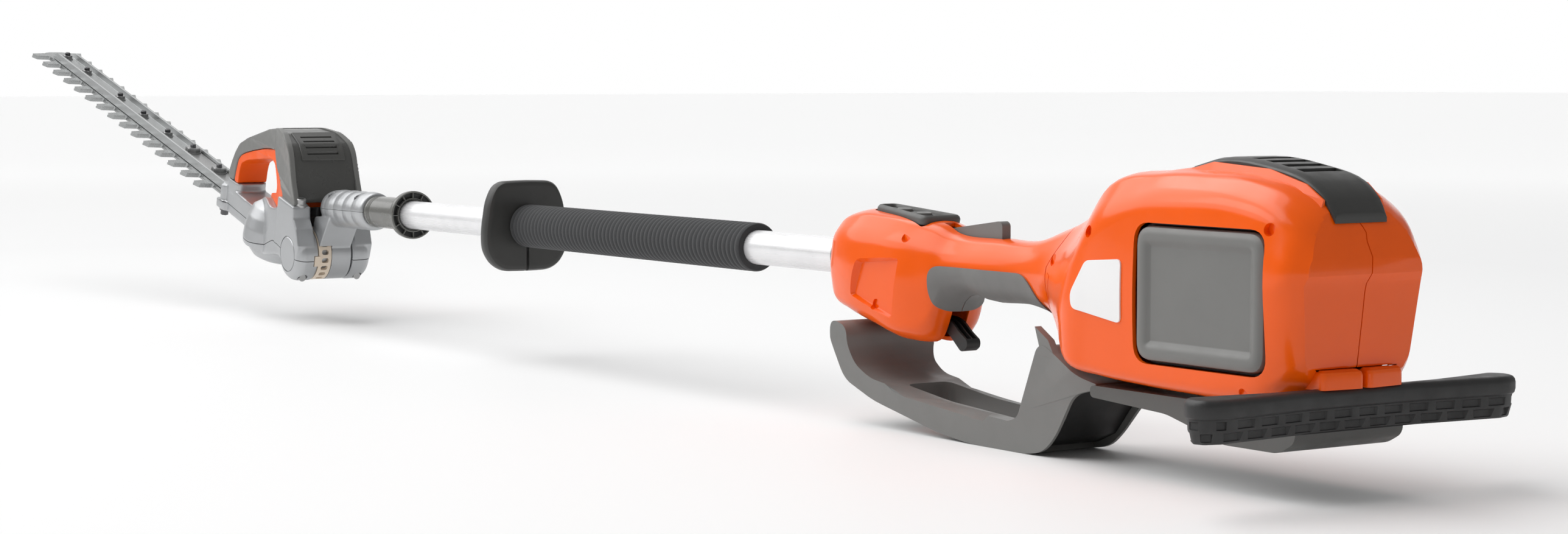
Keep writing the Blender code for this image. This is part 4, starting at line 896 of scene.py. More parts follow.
def make_shells():
    """The two orange clamshells, with every opening that the frame has, and the seams between them."""
    outer = outer_form()
    whole = copy_of(outer, "whole_shell")
    cut(whole, inner_form())
    cut(whole, plate("window", "XZ", [rounded(window_corners(1.6), 12)], -62, 62, MACHINE))
    cut(whole, box("trigger_slot", (-174, -7, -64), (-119, 7, -27), MACHINE),
        box("lockout_slot", (-206, -4.2, 4), (-142, 4.2, 44), MACHINE),
        rod("pole_hole", "X", -60, 10, POLE_RADIUS + GAP, MACHINE))
    cut(whole, stack("keypad_hole", keypad_plan(0.5), 5, ((0, 8), (0, 60)), "Z", MACHINE), vent_hole())
    cut(whole, *[rod("screw_well", "Y", reach - WELL_DEPTH, reach + 12, WELL_RADIUS, MACHINE, spot, 24)
                 for spot, reach in zip(SCREW_SPOTS, SCREW_REACH)])
    cut_neck_seams(whole)
    for name, side in SIDES:
        edge = [(y + side * SEAM_HALF, z) for z, y in PARTING_LINE]
        edge += [(90.0 * side, edge[-1][1]), (90.0 * side, edge[0][1])]
        half = plate(f"{name}_half", "YZ", [edge], -560, 20, MACHINE)
        shell = copy_of(whole, f"{name}_clamshell")
        keep_common(shell, half)
        show(shell, "rear_unit", ORANGE, [f"housing_{name}"], 24)
    drop(whole)
    return outer


def window_corners(margin):
    """The battery window's outline from the side, larger by a margin."""
    low = (BATTERY_LOW[0] - margin, BATTERY_LOW[1] - margin)
    high = (BATTERY_HIGH[0] + margin, BATTERY_HIGH[1] + margin)
    return rectangle(low, high)


def keypad_plan(margin):
    """The keypad's outline from above, larger by a margin: it widens towards the handle."""
    front, rear = -69 + margin, -136 - margin
    return ((front, -9 - margin), (front, 9 + margin), (rear, 17 + margin), (rear, -17 - margin))


def skin_patches(outer):
    """The soft grip inserts and the blank label, which lie on the skin and follow it."""
    thick = keep(solid_loft("grown_skin", skin_rings(1.0), MACHINE))
    grip = rounded(GRIP_OUTLINE, 9)
    label = rounded(LABEL_OUTLINE, 4)
    left, right = [plate(f"{name}_grip_insert", "XZ", [grip], *span(side, 0.3, WIDE), MACHINE)
                   for name, side in SIDES]
    blank = plate("blank_label", "XZ", [label], 30, 70, MACHINE)
    for patch in (left, right, blank):
        keep_common(patch, thick)
        cut(patch, outer)
    show(left, "rear_unit", GRAY_SOFT, ["grip_insert_left"])
    show(right, "rear_unit", GRAY_SOFT, ["grip_insert_right"])
    show(blank, "rear_unit", LABEL, ["label_plate"])
    drop(thick)


def slope(item):
    """Tip a keypad piece about the first key, so that it lies along the housing's top."""
    lift = Matrix.Translation((0.0, 0.0, KEYPAD_HEIGHT))
    pivot = Matrix.Translation((KEY_STATIONS[0], 0.0, 0.0))
    turn = Matrix.Rotation(-KEYPAD_SLOPE, 4, "Y")
    local = lift @ pivot @ turn @ pivot.inverted()
    item.data.transform(MACHINE @ local @ MACHINE.inverted())


def make_keypad():
    """A raised gray rim around a dark panel with two keys and four blank status lamps."""
    rim = stack("keypad_rim", keypad_plan(0.0), 7, KEYPAD_LAYERS, "Z", MACHINE)
    cut(rim, *[rod("key_hole", "Z", -6, 9, 6.1, MACHINE, (x, 0)) for x in KEY_STATIONS])
    slope(rim)
    show(rim, "rear_unit", GRAY_DARK, ["keypad_panel"])
    profile = ((0, -6), (5.3, -6), (5.3, 1.2), (4.9, 1.9), (4.2, 2.2), (3.4, 2.0), (0, 1.7))
    for name, x in zip(("power_key", "mode_key"), KEY_STATIONS):
        key = turned(f"{name}_cap", "Z", profile, MACHINE, 40, (x, 0, 0))
        slope(key)
        show(key, name, GRAY, [name])
    for number, x in enumerate((-126.0, -130.0)):
        for side in (-1, 1):
            lamp = rod(f"status_lamp_{number}_{side + 1}", "Z", 0.0, 0.6, 1.1, MACHINE, (x, side * 3.6), 16)
            slope(lamp)
            show(lamp, "rear_unit", LABEL)


def make_controls():
    """The trigger, with a channel in each face, and the lockout lever."""
    outline = rounded(TRIGGER_OUTLINE, 4)
    trigger = plate("trigger_lever", "XZ", [outline], -5.5, 5.5, MACHINE, 1.2)
    bake(trigger)
    channel = [(x, z + 2.6) for x, z in inset(outline, 1.6) if x < -128]
    for low in (-3.9, 0.5):
        cut(trigger, plate("channel", "XZ", [channel], low, low + 3.4, MACHINE))
    show(trigger, "trigger", BLACK, ["trigger"])
    lever = plate("lockout_wedge", "XZ", [rounded(LOCKOUT_OUTLINE, 2.5)], -3.4, 3.4, MACHINE, 0.8)
    show(lever, "lockout", GRAY, ["lockout_lever"])


def make_battery():
    """The battery: a framed and recessed face on the left, a ribbed one with the latches on the right."""
    pack = stack("battery_case", window_corners(0.0), 12, CASE_LAYERS, "Y", MACHINE)
    pockets = [box("pocket", (x - 8.5, -50, -14.5), (x + 8.5, -40.5, 14.5), MACHINE) for name, x in LATCHES]
    pockets += [box("rib_gap", (-478, -50, z - 1.4), (-400, -47.3, z + 1.4), MACHINE)
                for z in (-26, -20, 20, 26)]
    cut(pack, *pockets)
    show(pack, "battery", GRAY, ["battery_pack"])
    for name, x in LATCHES:
        key = box(f"latch_key_{name}", (x - 8, -49.3, -14), (x + 8, -44.5, 14), MACHINE, 1.0)
        bake(key)
        cut(key, *[box("grip_line", (x - 6, -50, z - 0.7), (x + 6, -48.6, z + 0.7), MACHINE)
                   for z in range(-9, 10, 3)])
        show(key, f"latch_{name}", CHARCOAL, [f"battery_latch_{name}"])


def make_vent_cap():
    """The dark cap on the spine, with four slots and a raised rim between its ends."""
    rings = []
    for x, half, low, high in hermite([[section] for section in VENT_SECTIONS], 5)[:, 0]:
        top = [(half, low), (half, high - 2.6), (half - 1.2, high - 1.2), (half * 0.72, high - 0.1)]
        top.append((0, high))
        rings.append([(x, y, z) for y, z in top] + [(x, -y, z) for y, z in reversed(top[:-1])])
    cap = solid_loft("vent_cover", rings, MACHINE)
    cut(cap, *[box("slot", (x - 3.2, -15, z - 3.0), (x + 3.2, 15, z + 8), MACHINE) for x, z in VENT_SLOTS])
    show(cap, "rear_unit", CHARCOAL, ["vent_cap"], 40)
    # A black plate just under the slots: painted shade for the dark seen through them
    floor = box("vent_shade_floor", (-492, -17, 68.4), (-440, 17, 69.2), MACHINE)
    show(floor, "rear_unit", BLACK)


def flared(name, outline, half):
    """A block with a side outline that widens towards the housing, as the guard does."""
    item = plate(name, "XZ", [outline], -half, half, MACHINE)
    for vertex in item.data.vertices:
        rise = min(1.0, vertex.co.z / MM / GUARD_FLARE_HEIGHT)
        vertex.co.y *= 1.0 + GUARD_FLARE * rise * rise
    return item


def rail_slope(side):
    """A cutter that slopes the top of one of the guard's rails outwards."""
    rings = []
    for x, fall in RAIL_FALLS:
        top = RAIL_REAR[1] + (x - RAIL_REAR[0]) * RAIL_RISE
        corners = ((19, top + 0.8), (40, top + 0.8), (40, top - fall * 2.2), (19, top))
        rings.append([(x, side * y, z) for y, z in corners])
    return solid_loft("rail_slope", rings, MACHINE)


def make_guard():
    """The loop guard: a slotted floor with sloping rails, a hollow rear leg and two cheeks at the housing."""
    guard = flared("hand_guard", rounded(GUARD_OUTLINE, 9), 28)
    cheeks = []
    for name, side in SIDES:
        low, high = span(side, 32.0, 37.0)
        cheeks.append(plate(f"{name}_cheek", "XZ", [GUARD_CHEEK], low, high, MACHINE))
    join(guard, *cheeks)
    slot = plate("guard_slot", "XY", [rounded(rectangle((-243, -17.5), (-118, 17.5)), 7)], -125, -50, MACHINE)
    cut(guard, slot, flared("hollow", GUARD_HOLLOW, 25.5), *[rail_slope(side) for name, side in SIDES])
    add_bevel(guard, 1.4, 3)
    show(guard, "rear_unit", GRAY, ["loop_guard"])
    # A black block in the hollow rear leg: painted shade, standing in for the deep shadow inside the channel
    show(flared("guard_shade_fill", GUARD_SHADE_FILL, 25.0), "rear_unit", BLACK)


def make_tray():
    """The tray under the battery housing."""
    tray = plate("floor_tray", "XZ", [rounded(TRAY_OUTLINE, 5)], -41, 41, MACHINE)
    add_bevel(tray, 2.2, 3)
    show(tray, "rear_unit", GRAY_DARK, ["bottom_tray"])


def walk(outline, distance):
    """The place at a distance along a closed outline, and the direction of the outline there."""
    for here, ahead in zip(outline, outline[1:] + outline[:1]):
        step = ahead - here
        if distance <= step.length:
            break
        distance -= step.length
    along = step.normalized()
    return here + along * distance, along


def bumper_pockets():
    """Shallow sloping pockets in two staggered rows around the bumper's rear and ends."""
    outline = [Vector(p) for p in rounded(mirrored(BUMPER_OUTLINE), 6, 5)]
    steps = [(ahead - here).length for here, ahead in zip(outline, outline[1:] + outline[:1])]
    pitch = sum(steps) / POCKET_COUNT
    turn = Matrix.Rotation(math.radians(45), 4, "Z")
    shape = bmesh.new()
    for row, (z, sink) in enumerate(POCKET_ROWS):
        for number in range(POCKET_COUNT):
            spot, along = walk(outline, (number + 0.5 * row) * pitch)
            # The front face has no pockets between the ends
            if spot.x > -514.5 and abs(spot.y) < 112:
                continue
            outward = Vector((along.y, -along.x))
            if outward.dot(spot - Vector((-512, spot.y * 0.6))) < 0:
                outward = -outward
            share = END_POCKET_SHARE if abs(spot.y) > 104 else POCKET_SHARE
            scale = Matrix.Diagonal((pitch * share, POCKET_HEIGHT, 1.0, 1.0))
            rows = ((along.x, 0, outward.x, 0), (along.y, 0, outward.y, 0), (0, 1, 0, 0), (0, 0, 0, 1))
            place = Matrix.Translation((spot.x - outward.x * sink, spot.y - outward.y * sink, z))
            made = bmesh.ops.create_cone(shape, cap_ends=True, segments=4, radius1=0.5, radius2=0.72,
                                         depth=2.4)
            bmesh.ops.transform(shape, matrix=place @ Matrix(rows) @ scale @ turn, verts=made["verts"])
    return new_object("pockets", shape, MACHINE)


def make_bumper():
    """A rounded lip over a band of ribbed cells."""
    outline = mirrored(BUMPER_OUTLINE)
    lip = stack("bumper_lip", outline, 6, LIP_LAYERS, "Z", MACHINE)
    band = stack("bumper_band", outline, 6, BAND_LAYERS, "Z", MACHINE)
    cut(band, bumper_pockets())
    show(lip, "rear_unit", RUBBER, ["rear_bumper"])
    show(band, "rear_unit", RUBBER)


def make_pole():
    """The aluminium tube, the seal where it enters the housing, and the ribbed foam grip."""
    bore = 11.0
    profile = ((POLE_RADIUS, POLE_START), (POLE_RADIUS, POLE_END), (bore, POLE_END), (bore, POLE_START))
    show(turned("pole", "X", profile, MACHINE, 72), "rear_unit", POLE, ["pole_tube"])
    profile = ((SNUG, -29.7), (16.5, -29.7), (16.5, -27.5), (16.0, -26.2), (15, -25.4), (SNUG, -25))
    show(turned("nose_seal", "X", profile, MACHINE, 56), "rear_unit", GRAY, ["entry_seal"])
    start, end = FOAM_ENDS
    step = (end - start) / FOAM_RIBS
    low, high = FOAM_RADII
    profile = [(SNUG, start)]
    for rib in range(FOAM_RIBS):
        x = start + rib * step
        profile += [(low, x), (high, x + step * 0.28), (high, x + step * 0.72), (low, x + step * 0.98)]
    profile.append((SNUG, end))
    foam = turned("foam_sleeve", "X", profile, MACHINE, 56)
    show(foam, "rear_unit", FOAM, ["foam_grip"], 60)


def make_shield():
    """The dished hand shield in front of the foam grip, slit where it opens around the pole."""
    outline = [(y, z) for z, y in mirrored(SHIELD_OUTLINE)]
    shield = stack("pole_shield", outline, 12, SHIELD_LAYERS, "X", MACHINE)
    cut(shield, rod("bore", "X", 430, 480, SNUG, MACHINE, sides=48),
        box("slit", (430, -1.2, -50), (480, 1.2, -10), MACHINE))
    show(shield, "rear_unit", CHARCOAL, ["hand_shield"])


def make_sleeve():
    """The spring sleeve that unlocks the head: a grooved barrel and a hollow end flange on spokes."""
    profile = [(SNUG, 734), (14.0, 734), (14.4, 733.5)]
    for groove in range(3):
        x = 729.5 - groove * 2.6
        profile += [(14.4, x), (13.9, x - 0.5), (13.9, x - 1.0), (14.4, x - 1.5)]
    profile += SLEEVE_FLANGE
    sleeve = turned("unlock_sleeve", "X", profile, MACHINE, 72)
    show(sleeve, "sleeve", SLEEVE, ["lock_sleeve"])
    shape = bmesh.new()
    for spoke in range(SPOKE_COUNT):
        made = bmesh.ops.create_cube(shape, size=1.0)["verts"]
        bmesh.ops.scale(shape, vec=(2.6, 0.8, 5.2), verts=made)
        bmesh.ops.translate(shape, vec=(661.2, 0, 17.6), verts=made)
        turn = Matrix.Rotation(spoke * 2 * math.pi / SPOKE_COUNT, 3, "X")
        bmesh.ops.rotate(shape, verts=made, cent=(0, 0, 0), matrix=turn)
    show(new_object("sleeve_spokes", shape, MACHINE), "sleeve", SLEEVE)
    # A thin black ring on the floor of the flange's hollow end: painted shade in the recess between the
    # spokes
    profile = ((15.7, 663.0), (19.6, 662.4), (19.6, 662.2), (15.7, 662.8))
    show(turned("sleeve_hollow_shade", "X", profile, MACHINE, 48), "sleeve", BLACK)


# ---------------------------------------------------------------- knuckle and hinge

def barrel_bands(start, end, count, low, high):
    """A barrel's profile with shallow convex bands, as (radius, station)."""
    step = (end - start) / count
    profile = []
    for band in range(count):
        for share in (0.0, 0.04, 0.2, 0.5, 0.8, 0.96):
            swell = 1.0 - (2.0 * share - 1.0) ** 2
            profile.append((low + (high - low) * swell, start + (band + share) * step))
    return profile


def hinge_disc(name, inner, outer, low, high):
    """A ring or band around the fold axis, drawn in the machine frame."""
    profile = ((inner, low), (outer, low), (outer, high), (inner, high))
    return turned(name, "Y", profile, MACHINE, 72, HINGE_POINT)


def make_knuckle():
    """The banded clamp on the pole with its neck and drum, in two halves."""
    profile = [(0, 735), (15.6, 735), (16.2, 735.8)] + barrel_bands(737, 815, 4, 17.0, 17.9)
    profile += [(17.0, 815), (17.0, 820), (16.0, 826), (13.4, 830), (9.0, 832), (0, 832)]
    whole = turned("clamp_form", "X", profile, MACHINE, 72)
    neck = plate("neck", "XZ", [rounded(NECK_OUTLINE, 3)], -16.4, 16.4, MACHINE)
    disc = ((0, -16.9), (24, -16.9), (25, -16), (25, 16), (24, 16.9), (0, 16.9))
    drum = turned("drum", "Y", disc, MACHINE, 72, HINGE_POINT)
    join(whole, neck, drum)
    cast(whole, 0.8, 5)
    groove = hinge_disc("groove", 21.3, 25.6, 3.5, 21)
    ring_view = hinge_disc("ring_view", 21.3, 45, 3.5, 21)
    keep_common(ring_view, box("below_neck", (790, 0, -90), (HINGE_POINT[0], 30, -36), MACHINE))
    pin_hole = rod("pin_hole", "Y", -30, 30, PIN_RADIUS + PIN_PLAY, MACHINE, HINGE_POINT[::2], 48)
    pole_hole = rod("pole_hole", "X", 700, 801, POLE_RADIUS + GAP, MACHINE, sides=56)
    wells = [rod("well", "Z", 10.5, 30, 3.4, MACHINE, spot, 24) for spot in CLAMP_SCREWS]
    cut(whole, groove, ring_view, pin_hole, pole_hole, *wells)
    cap = copy_of(whole, "clamp_top")
    cut(whole, box("above", (700, -40, -GAP / 2), (900, 40, 40), MACHINE))
    cut(cap, box("below", (700, -40, -90), (900, 40, GAP / 2), MACHINE))
    show(whole, "rear_unit", CAST, ["knuckle"])
    show(cap, "rear_unit", CAST, ["clamp_cap"])
    profile = ((0, 10.5), (3.1, 10.5), (3.1, 12.6), (2.6, 13), (0, 13))
    for spot in CLAMP_SCREWS:
        screw = turned("clamp_screw", "Z", profile, MACHINE, 24, (*spot, 0))
        show(screw, "rear_unit", DARK_STEEL)


def around_hinge(item, angle):
    """Turn a head piece about the fold axis."""
    item.data.transform(HEAD @ Matrix.Rotation(angle, 4, "Y") @ HEAD.inverted())


def make_ring():
    """The nylon ring with the stops for the lock pin, and the tab that holds it in the left lobe."""
    low, high = RING_Y
    inner, outer = RING_RADII
    profile = ((inner, low), (outer - 0.4, low), (outer, low + 0.4), (outer, high - 0.4), (outer - 0.4, high),
               (inner, high))
    ring = turned("stop_ring", "Y", profile, HEAD, 80)
    tab = box("ring_tab", (-outer - 1.2, high - 1, -4.8), (-inner, high + 4.6, 4.8), HEAD)
    join(ring, tab)
    outline = rounded(rectangle((low + 3.0, -2.4), (high - 3.0, 2.4)), 2.3)
    for slot in range(RING_SLOTS):
        hole = plate("stop", "YZ", [outline], 18, 30, HEAD)
        around_hinge(hole, math.pi * 2 * slot / RING_SLOTS + LOCK_PHASE)
        cut(ring, hole)
    show(ring, "head", CREAM, ["detent_ring"])


def make_lobe_caps():
    """The round caps over the ends of the fold pin."""
    profile = ((0, 36.8), (16.2, 36.8), (16.2, 38.0), (15.6, 38.5), (0, 38.7))
    for name, side in SIDES:
        cap = turned(f"lobe_cap_{name}", "Y", [(r, side * y) for r, y in profile], HEAD, 56)
        show(cap, "head", CAST, [f"pivot_cap_{name}"])


# ---------------------------------------------------------------- gearbox

def make_lobe(side):
    """A hinge lobe with its round outer edge, and the arm and link that join it to the gearbox."""
    near, far = LOBE_Y
    profile = ((0, near), (LOBE_RADIUS, near), (LOBE_RADIUS, far - 8.5), (LOBE_RADIUS - 1.2, far - 5.0),
               (LOBE_RADIUS - 4.0, far - 1.8), (LOBE_RADIUS - 8.0, far), (0, far))
    lobe = turned("lobe", "Y", [(r, side * y) for r, y in profile], HEAD, 72)
    arm = plate("arm", "XZ", [ARM_OUTLINE], *span(side, near + 3.0, far), HEAD)
    link = plate("link", "XZ", [LINK_OUTLINE], *span(side, near, far - 1.9), HEAD)
    join(lobe, arm, link)
    return lobe


def gearbox_form():
    """The gearbox as one closed casting with its two lobes, before anything is hollowed out."""
    whole = plate("gearbox", "XY", [rounded(across(GEARBOX_PLAN), 8)], -40, 50, HEAD)
    keep_common(whole, plate("sides", "XZ", [rounded(BODY_OUTLINE, 7)], -WIDE, WIDE, HEAD))
    dome = turned("dome", "Z", DOME_PROFILE, HEAD, 72, (CRANK_U, 0, 0))
    keep_common(dome, plate("dome_sides", "XZ", [rounded(inset(BODY_OUTLINE, 0.3), 7)], -WIDE, WIDE, HEAD))
    bowl = turned("bowl", "Z", BOWL_PROFILE, HEAD, 56, (CRANK_U, 0, 0))
    front = plate("front", "XY", [rounded(FRONT_PLAN, 4)], -21.7, 4.6, HEAD)
    post = plate("post_foot", "XY", [rounded(POST_PLAN, 9)], 0, 13.2, HEAD)
    flange = plate("flange", "XY", [rounded(FLANGE_PLAN, 5)], -21.5, -12.5, HEAD)
    bosses = [rod("boss", "Z", -22, 3.6, 5.6, HEAD, (FLANGE_BOLT_U, y), 32) for y in FLANGE_BOLT_Y]
    join(whole, dome, bowl, front, post, flange, *bosses)
    join(whole, make_lobe(1), make_lobe(-1))
    cast(whole, 0.9, 6)
    return whole


def gearbox_rooms():
    """Cutters for all that the gearbox holds: screws, ring, drum, pin, gear, motor, knives and bar."""
    rooms = [rod("well", "X", -40, -12, 4.4, HEAD, (y, LOBE_SCREW_W), 32) for y in LOBE_SCREW_Y]
    rooms += [rod("cap_recess", "Y", *span(side, 37.0, 45.0), 17.0, HEAD, sides=56) for name, side in SIDES]
    return rooms + [
        box("tab_room", (-40, 15, -5.2), (-20, 21.8, 5.2), HEAD),
        rod("drum_room", "Y", -LOBE_Y[0], LOBE_Y[0], 27.4, HEAD, sides=72),
        rod("pin_hole", "Y", -36.4, 36.4, PIN_RADIUS + PIN_PLAY, HEAD, sides=48),
        turned("gear_room", "Z", GEAR_ROOM_PROFILE, HEAD, 56, (CRANK_U, 0, 0)),
        plate("motor_seat", "XY", [rounded(MOTOR_SEAT_PLAN, 8)], 12, 80, HEAD),
        rod("shaft_room", "Z", -7, 40, 10, HEAD, (MOTOR_U, 0), 32),
        box("knife_way", (100, -13.6, -14), (250, 13.6, -6.6), HEAD),
        plate("yoke_room", "XY", [YOKE_ROOM_PLAN], -14, -6.6, HEAD),
        box("bar_way", (222.5, -12, -14), (250, 12, 3), HEAD),
    ]


def make_gearbox():
    """The cast gearbox, parted along a line that steps up beside the lobes."""
    whole = gearbox_form()
    cut(whole, *gearbox_rooms())
    lower = copy_of(whole, "gearbox_sump")
    for item, side, far, node in ((whole, 1, 120.0, "gearbox_upper"), (lower, -1, -60.0, "gearbox_lower")):
        edge = [(u, w + side * SEAM_HALF) for u, w in SPLIT_LINE]
        edge += [(edge[-1][0], far), (edge[0][0], far)]
        keep_common(item, plate("part", "XZ", [edge], -WIDE, WIDE, HEAD))
        show(item, "head", CAST, [node])


def make_head_screws():
    """The bolts under the front flange, and the screws behind the lobes and beside the cover."""
    bolt = ((0, -22), (5.2, -22), (5.2, -23.4), (3.9, -23.6), (3.9, -28), (0, -28))
    ledge = ((0, 46), (6.2, 46), (6.2, 48.2), (4.9, 49), (4.9, 53), (4.2, 53.8), (2.6, 53.8), (2.4, 51.5),
             (0, 51.5))
    for y in FLANGE_BOLT_Y:
        flange_bolt = turned("flange_bolt", "Z", bolt, HEAD, 6, (FLANGE_BOLT_U, y, 0))
        show(flange_bolt, "head", DARK_STEEL)
    for y in LOBE_SCREW_Y:
        lobe_screw = rod("lobe_screw", "X", -17, -12.2, 3.4, HEAD, (y, LOBE_SCREW_W), 24)
        show(lobe_screw, "head", SCREW_STEEL)
        show(turned("ledge_screw", "Z", ledge, HEAD, 40, (3, y, 0)), "head", SCREW_STEEL)


# ---------------------------------------------------------------- head cover

def cover_half_width(u):
    """Half the width of the cover and bow at a station along the head."""
    return float(np.interp(u, COVER_HALF_WIDTH[0], COVER_HALF_WIDTH[1]))


def tapered(name, outline, margin, radius=3.0):
    """A block with a side outline whose half width follows the cover's, less a margin."""
    item = plate(name, "XZ", [rounded(outline, radius)], -1.0, 1.0, HEAD)
    inverse = HEAD.inverted()
    for vertex in item.data.vertices:
        local = inverse @ vertex.co
        local.y *= cover_half_width(local.x) - margin
        vertex.co = HEAD @ local
    return item


def make_cover():
    """The dark motor cover, its gray cheeks and bow, and the orange lining of the grip."""
    hollow = keep(tapered("hollow", COVER_HOLLOW, 4.0))
    dark = tapered("dark_cover", COVER_OUTLINE, 3.9, 5.0)
    cast(dark, 0.8, 8)
    raised = plate("raised_panel", "XZ", [PANEL_OUTLINE], -22, 22, HEAD, 0.5)
    bake(raised)
    join(dark, raised)
    cut(dark, hollow)
    cut(dark, *[box("groove", (u - 1.2, -16, w - 2.4), (u + 1.2, 16, w + 6), HEAD) for u, w in COVER_GROOVES])
    show(dark, "head", COVER, ["motor_cover"])
    cheeks = tapered("cheek_form", CHEEK_OUTLINE, 0.0, 5.0)
    join(cheeks, tapered("bow_form", BOW_OUTLINE, 0.0, 4.0))
    cast(cheeks, 0.8, 7)
    cut(cheeks, tapered("cheek_room", CHEEK_ROOM, 3.6, 3.0), hollow)
    show(cheeks, "head", GRAY, ["handle_bow"])
    lining = tapered("grip_lining", LINING_OUTLINE, 0.6, 3.0)
    cast(lining, 0.8, 5)
    cut(lining, hollow, box("below_cover", (0, -31, 20), (45, 31, 37.5), HEAD))
    show(lining, "head", ORANGE_SATIN, ["handle_grip"])
    drop(hollow)


# ---------------------------------------------------------------- cutting bar

def knife_outline(shift):
    """A knife seen from above: a strip with teeth to both sides, and a wide yoke behind."""
    half, reach = 12.5, 28.9
    left = [(64.5, 26), (109, 26), (122, half)]
    for tooth in range(TOOTH_COUNT):
        u = ROOT_TOOTH_U + tooth * TOOTH_PITCH + shift
        left += [(u - 9.5, half), (u - 7.6, half + 1.2), (u - 5.5, reach - 3), (u + 4.5, reach),
                 (u + 6.2, half + 1.2), (u + 8.0, half)]
    end = ROOT_TOOTH_U + (TOOTH_COUNT - 1) * TOOTH_PITCH + 10.2
    left.append((end, half * 0.6))
    return across(left)


def make_knives():
    """The two knives, each with a window for its eccentric and a slot at every bolt."""
    for name, shift, low, high, room in KNIVES:
        window = rectangle((CRANK_U - room, -room), (CRANK_U + room, room))
        slots = [rounded(rectangle((u - 9, -3.4), (u + 9, 3.4)), 3.3) for u in BOLT_STATIONS]
        knife = plate(f"{name}_blank", "XY", [knife_outline(shift), window] + slots, low, high, HEAD, 0.7, 1)
        show(knife, name.replace("knife", "blade"), BLADE, [name], 20)


def hex_nut(name, u, base, radius, height):
    """A hexagon nut with a flange under it, chamfered on top."""
    flange = ((THREAD_RADIUS, base), (radius + 0.8, base), (radius + 0.8, base + 0.9),
              (radius * 0.92, base + 1.2))
    nut = turned(name, "Z", flange, HEAD, 40, (u, 0, 0))
    top = base + height
    body = rod("hexagon", "Z", base + 0.5, top, radius, HEAD, (u, 0), 6)
    chamfer = ((0, base), (radius + 1, base), (radius + 1, top - 1.4), (radius - 0.8, top), (0, top))
    keep_common(body, turned("chamfer", "Z", chamfer, HEAD, 40, (u, 0, 0)))
    cut(body, rod("thread", "Z", base - 1, top + 1, THREAD_RADIUS, HEAD, (u, 0), 24))
    join(nut, body)
    return nut


def bolt_holes(stations):
    """Cutters for the bolts through the channel and the root plate."""
    return [rod("hole", "Z", -20, 20, 3.2, HEAD, (u, 0), 24) for u in stations]


def make_bar():
    """The channel over the knives, and the plate on its floor at the root."""
    half, wall = CHANNEL_HALF, CHANNEL_WALL
    low, high = CHANNEL_LOW, CHANNEL_HIGH
    profile = ((-half, low), (half, low), (half, high), (half - wall, high), (half - wall, low + wall),
               (wall - half, low + wall), (wall - half, high), (-half, high))
    bar = plate("channel", "YZ", [profile], 223, 757, HEAD, 0.6)
    bake(bar)
    nose = plate("nose", "XZ", [((735, 4), (770, 4), (770, -6))], -20, 20, HEAD)
    cut(bar, *bolt_holes(BOLT_STATIONS), nose)
    show(bar, "head", CHANNEL, ["guide_bar"], 25)
    outline = rounded(rectangle((228, -8.2), (362, 8.2)), 3)
    root = plate("root_strip", "XY", [outline], low + wall + 0.1, low + wall + 3.3, HEAD, 0.5)
    bake(root)
    cut(root, *bolt_holes(BOLT_STATIONS[:ROOT_BOLTS]))
    show(root, "head", SCREW_STEEL, ["root_plate"])


def make_bar_bolts():
    """The bolts that hold the bar and knives, with larger nuts on the root plate than further along."""
    for number, u in enumerate(BOLT_STATIONS, 1):
        at_root = number <= ROOT_BOLTS
        seat = CHANNEL_LOW + CHANNEL_WALL + (3.3 if at_root else 0.1)
        radius, height = (7.8, 6.0) if at_root else (5.4, 4.6)
        top = seat + height
        profile = ((0, -14.6), (6.4, -14.6), (6.4, -13), (5.8, -12.5), (3.0, -12.4), (3.0, top + 2.4),
                   (2.4, top + 3), (0, top + 3))
        stud = turned(f"stud_{number}", "Z", profile, HEAD, 32, (u, 0, 0))
        show(stud, "head", DARK_STEEL, [f"bar_bolt_{number}"])
        show(hex_nut(f"nut_{number}", u, seat, radius, height), "head", SCREW_STEEL)


# ---------------------------------------------------------------- internals and carried-over nodes

def paint_nodes():
    """The inner pieces keep the frame's shapes and get finished materials."""
    for node in ("trigger_pin", "lockout_pin", "fold_pin", "lock_pin", "crank_gear", "motor_rotor",
                 "crank_bearing", "rotor_bearing", "shield_clip"):
        paint_node(node, BRIGHT)
    for node in ("trigger_switch", "battery_bay", "battery_connector", "power_lead"):
        paint_node(node, BLACK)
    paint_node("motor_controller", CHANNEL, 0.8)
    paint_node("keypad_board", CIRCUIT)
    paint_node("motor_stator", WINDING)


# ---------------------------------------------------------------- stage

def make_stage():
    """A plain pale paper floor."""
    shape = bmesh.new()
    bmesh.ops.create_grid(shape, x_segments=1, y_segments=1, size=FLOOR_REACH)
    floor = new_object("studio_floor", shape, Matrix.Scale(MM, 4))
    material, tree, shader = start_material("studio_paper", PAPER, 0.6, specular=0.2)
    cloud = add_noise(tree, 0.6, 2.0)
    tree.links.new(tint(tree, cloud, PAPER, 0.01), shader.inputs["Base Color"])
    spot = add_node(tree, "NewGeometry")
    distance = add_node(tree, "VectorMath")
    distance.operation = "LENGTH"
    tree.links.new(spot.outputs["Position"], distance.inputs[0])
    glow = spread(tree, distance.outputs["Value"], GLOW_EDGE, (0.0, GLOW_STRENGTH))
    tree.links.new(glow, shader.inputs["Emission Strength"])
    shader.inputs["Emission Color"].default_value = (1.0, 1.0, 1.0, 1.0)
    floor.data.materials.append(material)


def add_lamp(name, spot, target, power, size):
    """A soft rectangular lamp that faces a target."""
    lamp = bpy.data.lights.new(name, "AREA")
    lamp.shape = "RECTANGLE"
    lamp.size, lamp.size_y = size
    lamp.energy = power
    item = bpy.data.objects.new(name, lamp)
    item.location = spot
    item.rotation_euler = (Vector(target) - Vector(spot)).to_track_quat("-Z", "Y").to_euler()
    bpy.context.scene.collection.objects.link(item)


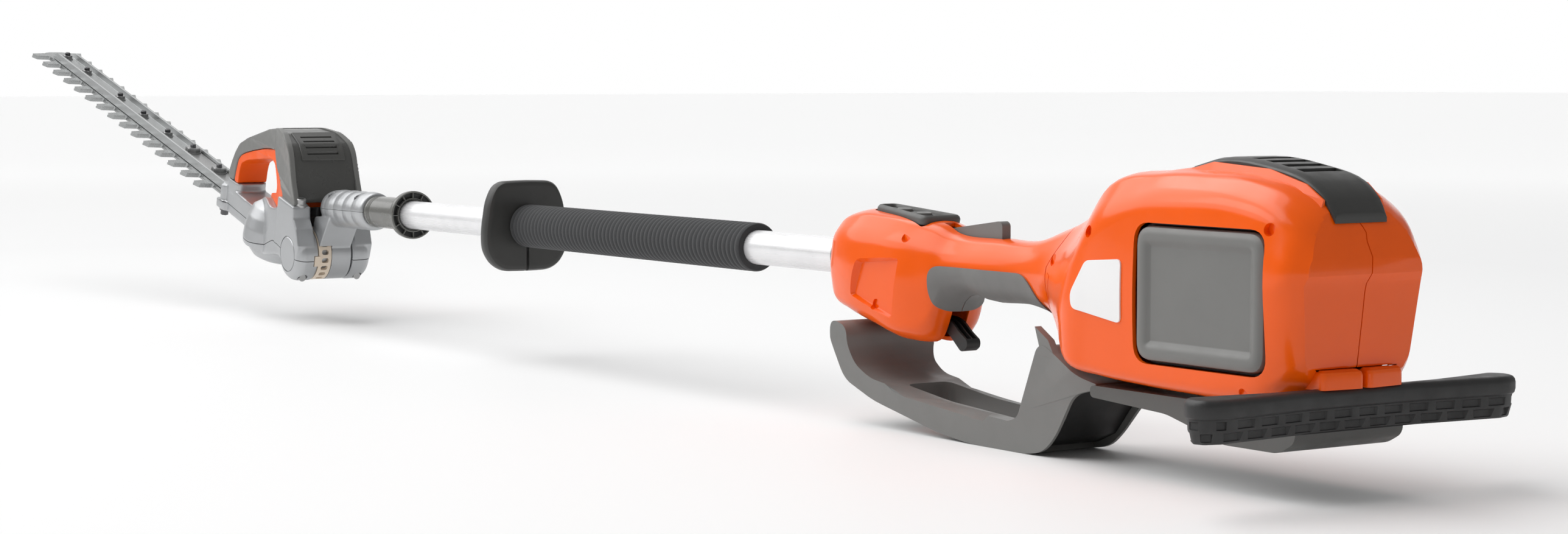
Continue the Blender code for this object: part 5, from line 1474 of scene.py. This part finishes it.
def add_ceiling():
    """Light from a wide patch of the sky, so that the floor is lit far beyond the lamps."""
    sun = bpy.data.lights.new("ceiling", "SUN")
    sun.energy = CEILING_POWER
    sun.angle = CEILING_ANGLE
    item = bpy.data.objects.new("ceiling", sun)
    item.rotation_euler = Vector(CEILING_DIRECTION).to_track_quat("Z", "Y").to_euler()
    bpy.context.scene.collection.objects.link(item)


def make_lights():
    """A dim room with one bright wall beyond the cutter, two soft lamps and a wide ceiling."""
    world = bpy.data.worlds.new("studio")
    bpy.context.scene.world = world
    world.use_nodes = True
    tree = world.node_tree
    place = add_node(tree, "TexCoord")
    facing = add_node(tree, "VectorMath")
    facing.operation = "DOT_PRODUCT"
    facing.inputs[1].default_value = WALL_DIRECTION
    tree.links.new(place.outputs["Generated"], facing.inputs[0])
    wall = spread(tree, facing.outputs["Value"], WALL_EDGE, (ROOM_STRENGTH, WALL_STRENGTH))
    sky = tree.nodes["Background"]
    sky.inputs["Color"].default_value = (1.0, 1.0, 1.0, 1.0)
    tree.links.new(wall, sky.inputs["Strength"])
    for lamp in LAMPS:
        add_lamp(*lamp)
    add_ceiling()


def make_camera():
    """The camera stands behind the machine and to its left, a little above the pole."""
    level = math.cos(CAMERA_PITCH)
    ahead = Vector((level * math.cos(CAMERA_YAW), level * math.sin(CAMERA_YAW), math.sin(CAMERA_PITCH)))
    camera = bpy.data.cameras.new("camera")
    camera.lens = CAMERA_LENS
    camera.sensor_width = 36.0
    camera.clip_start = 0.02
    item = bpy.data.objects.new("camera", camera)
    item.location = MACHINE @ Vector(CAMERA_SPOT)
    item.rotation_euler = ahead.to_track_quat("-Z", "Y").to_euler()
    bpy.context.scene.collection.objects.link(item)
    bpy.context.scene.camera = item


bpy.context.scene.view_settings.view_transform = "Standard"
make_camera()
make_lights()
make_stage()
SKIN_FORM = make_shells()
skin_patches(SKIN_FORM)
drop(SKIN_FORM)
make_keypad()
make_controls()
make_battery()
make_vent_cap()
make_guard()
make_tray()
make_bumper()
make_pole()
make_shield()
make_sleeve()
make_knuckle()
make_ring()
make_lobe_caps()
make_gearbox()
make_head_screws()
make_cover()
make_knives()
make_bar()
make_bar_bolts()
paint_nodes()
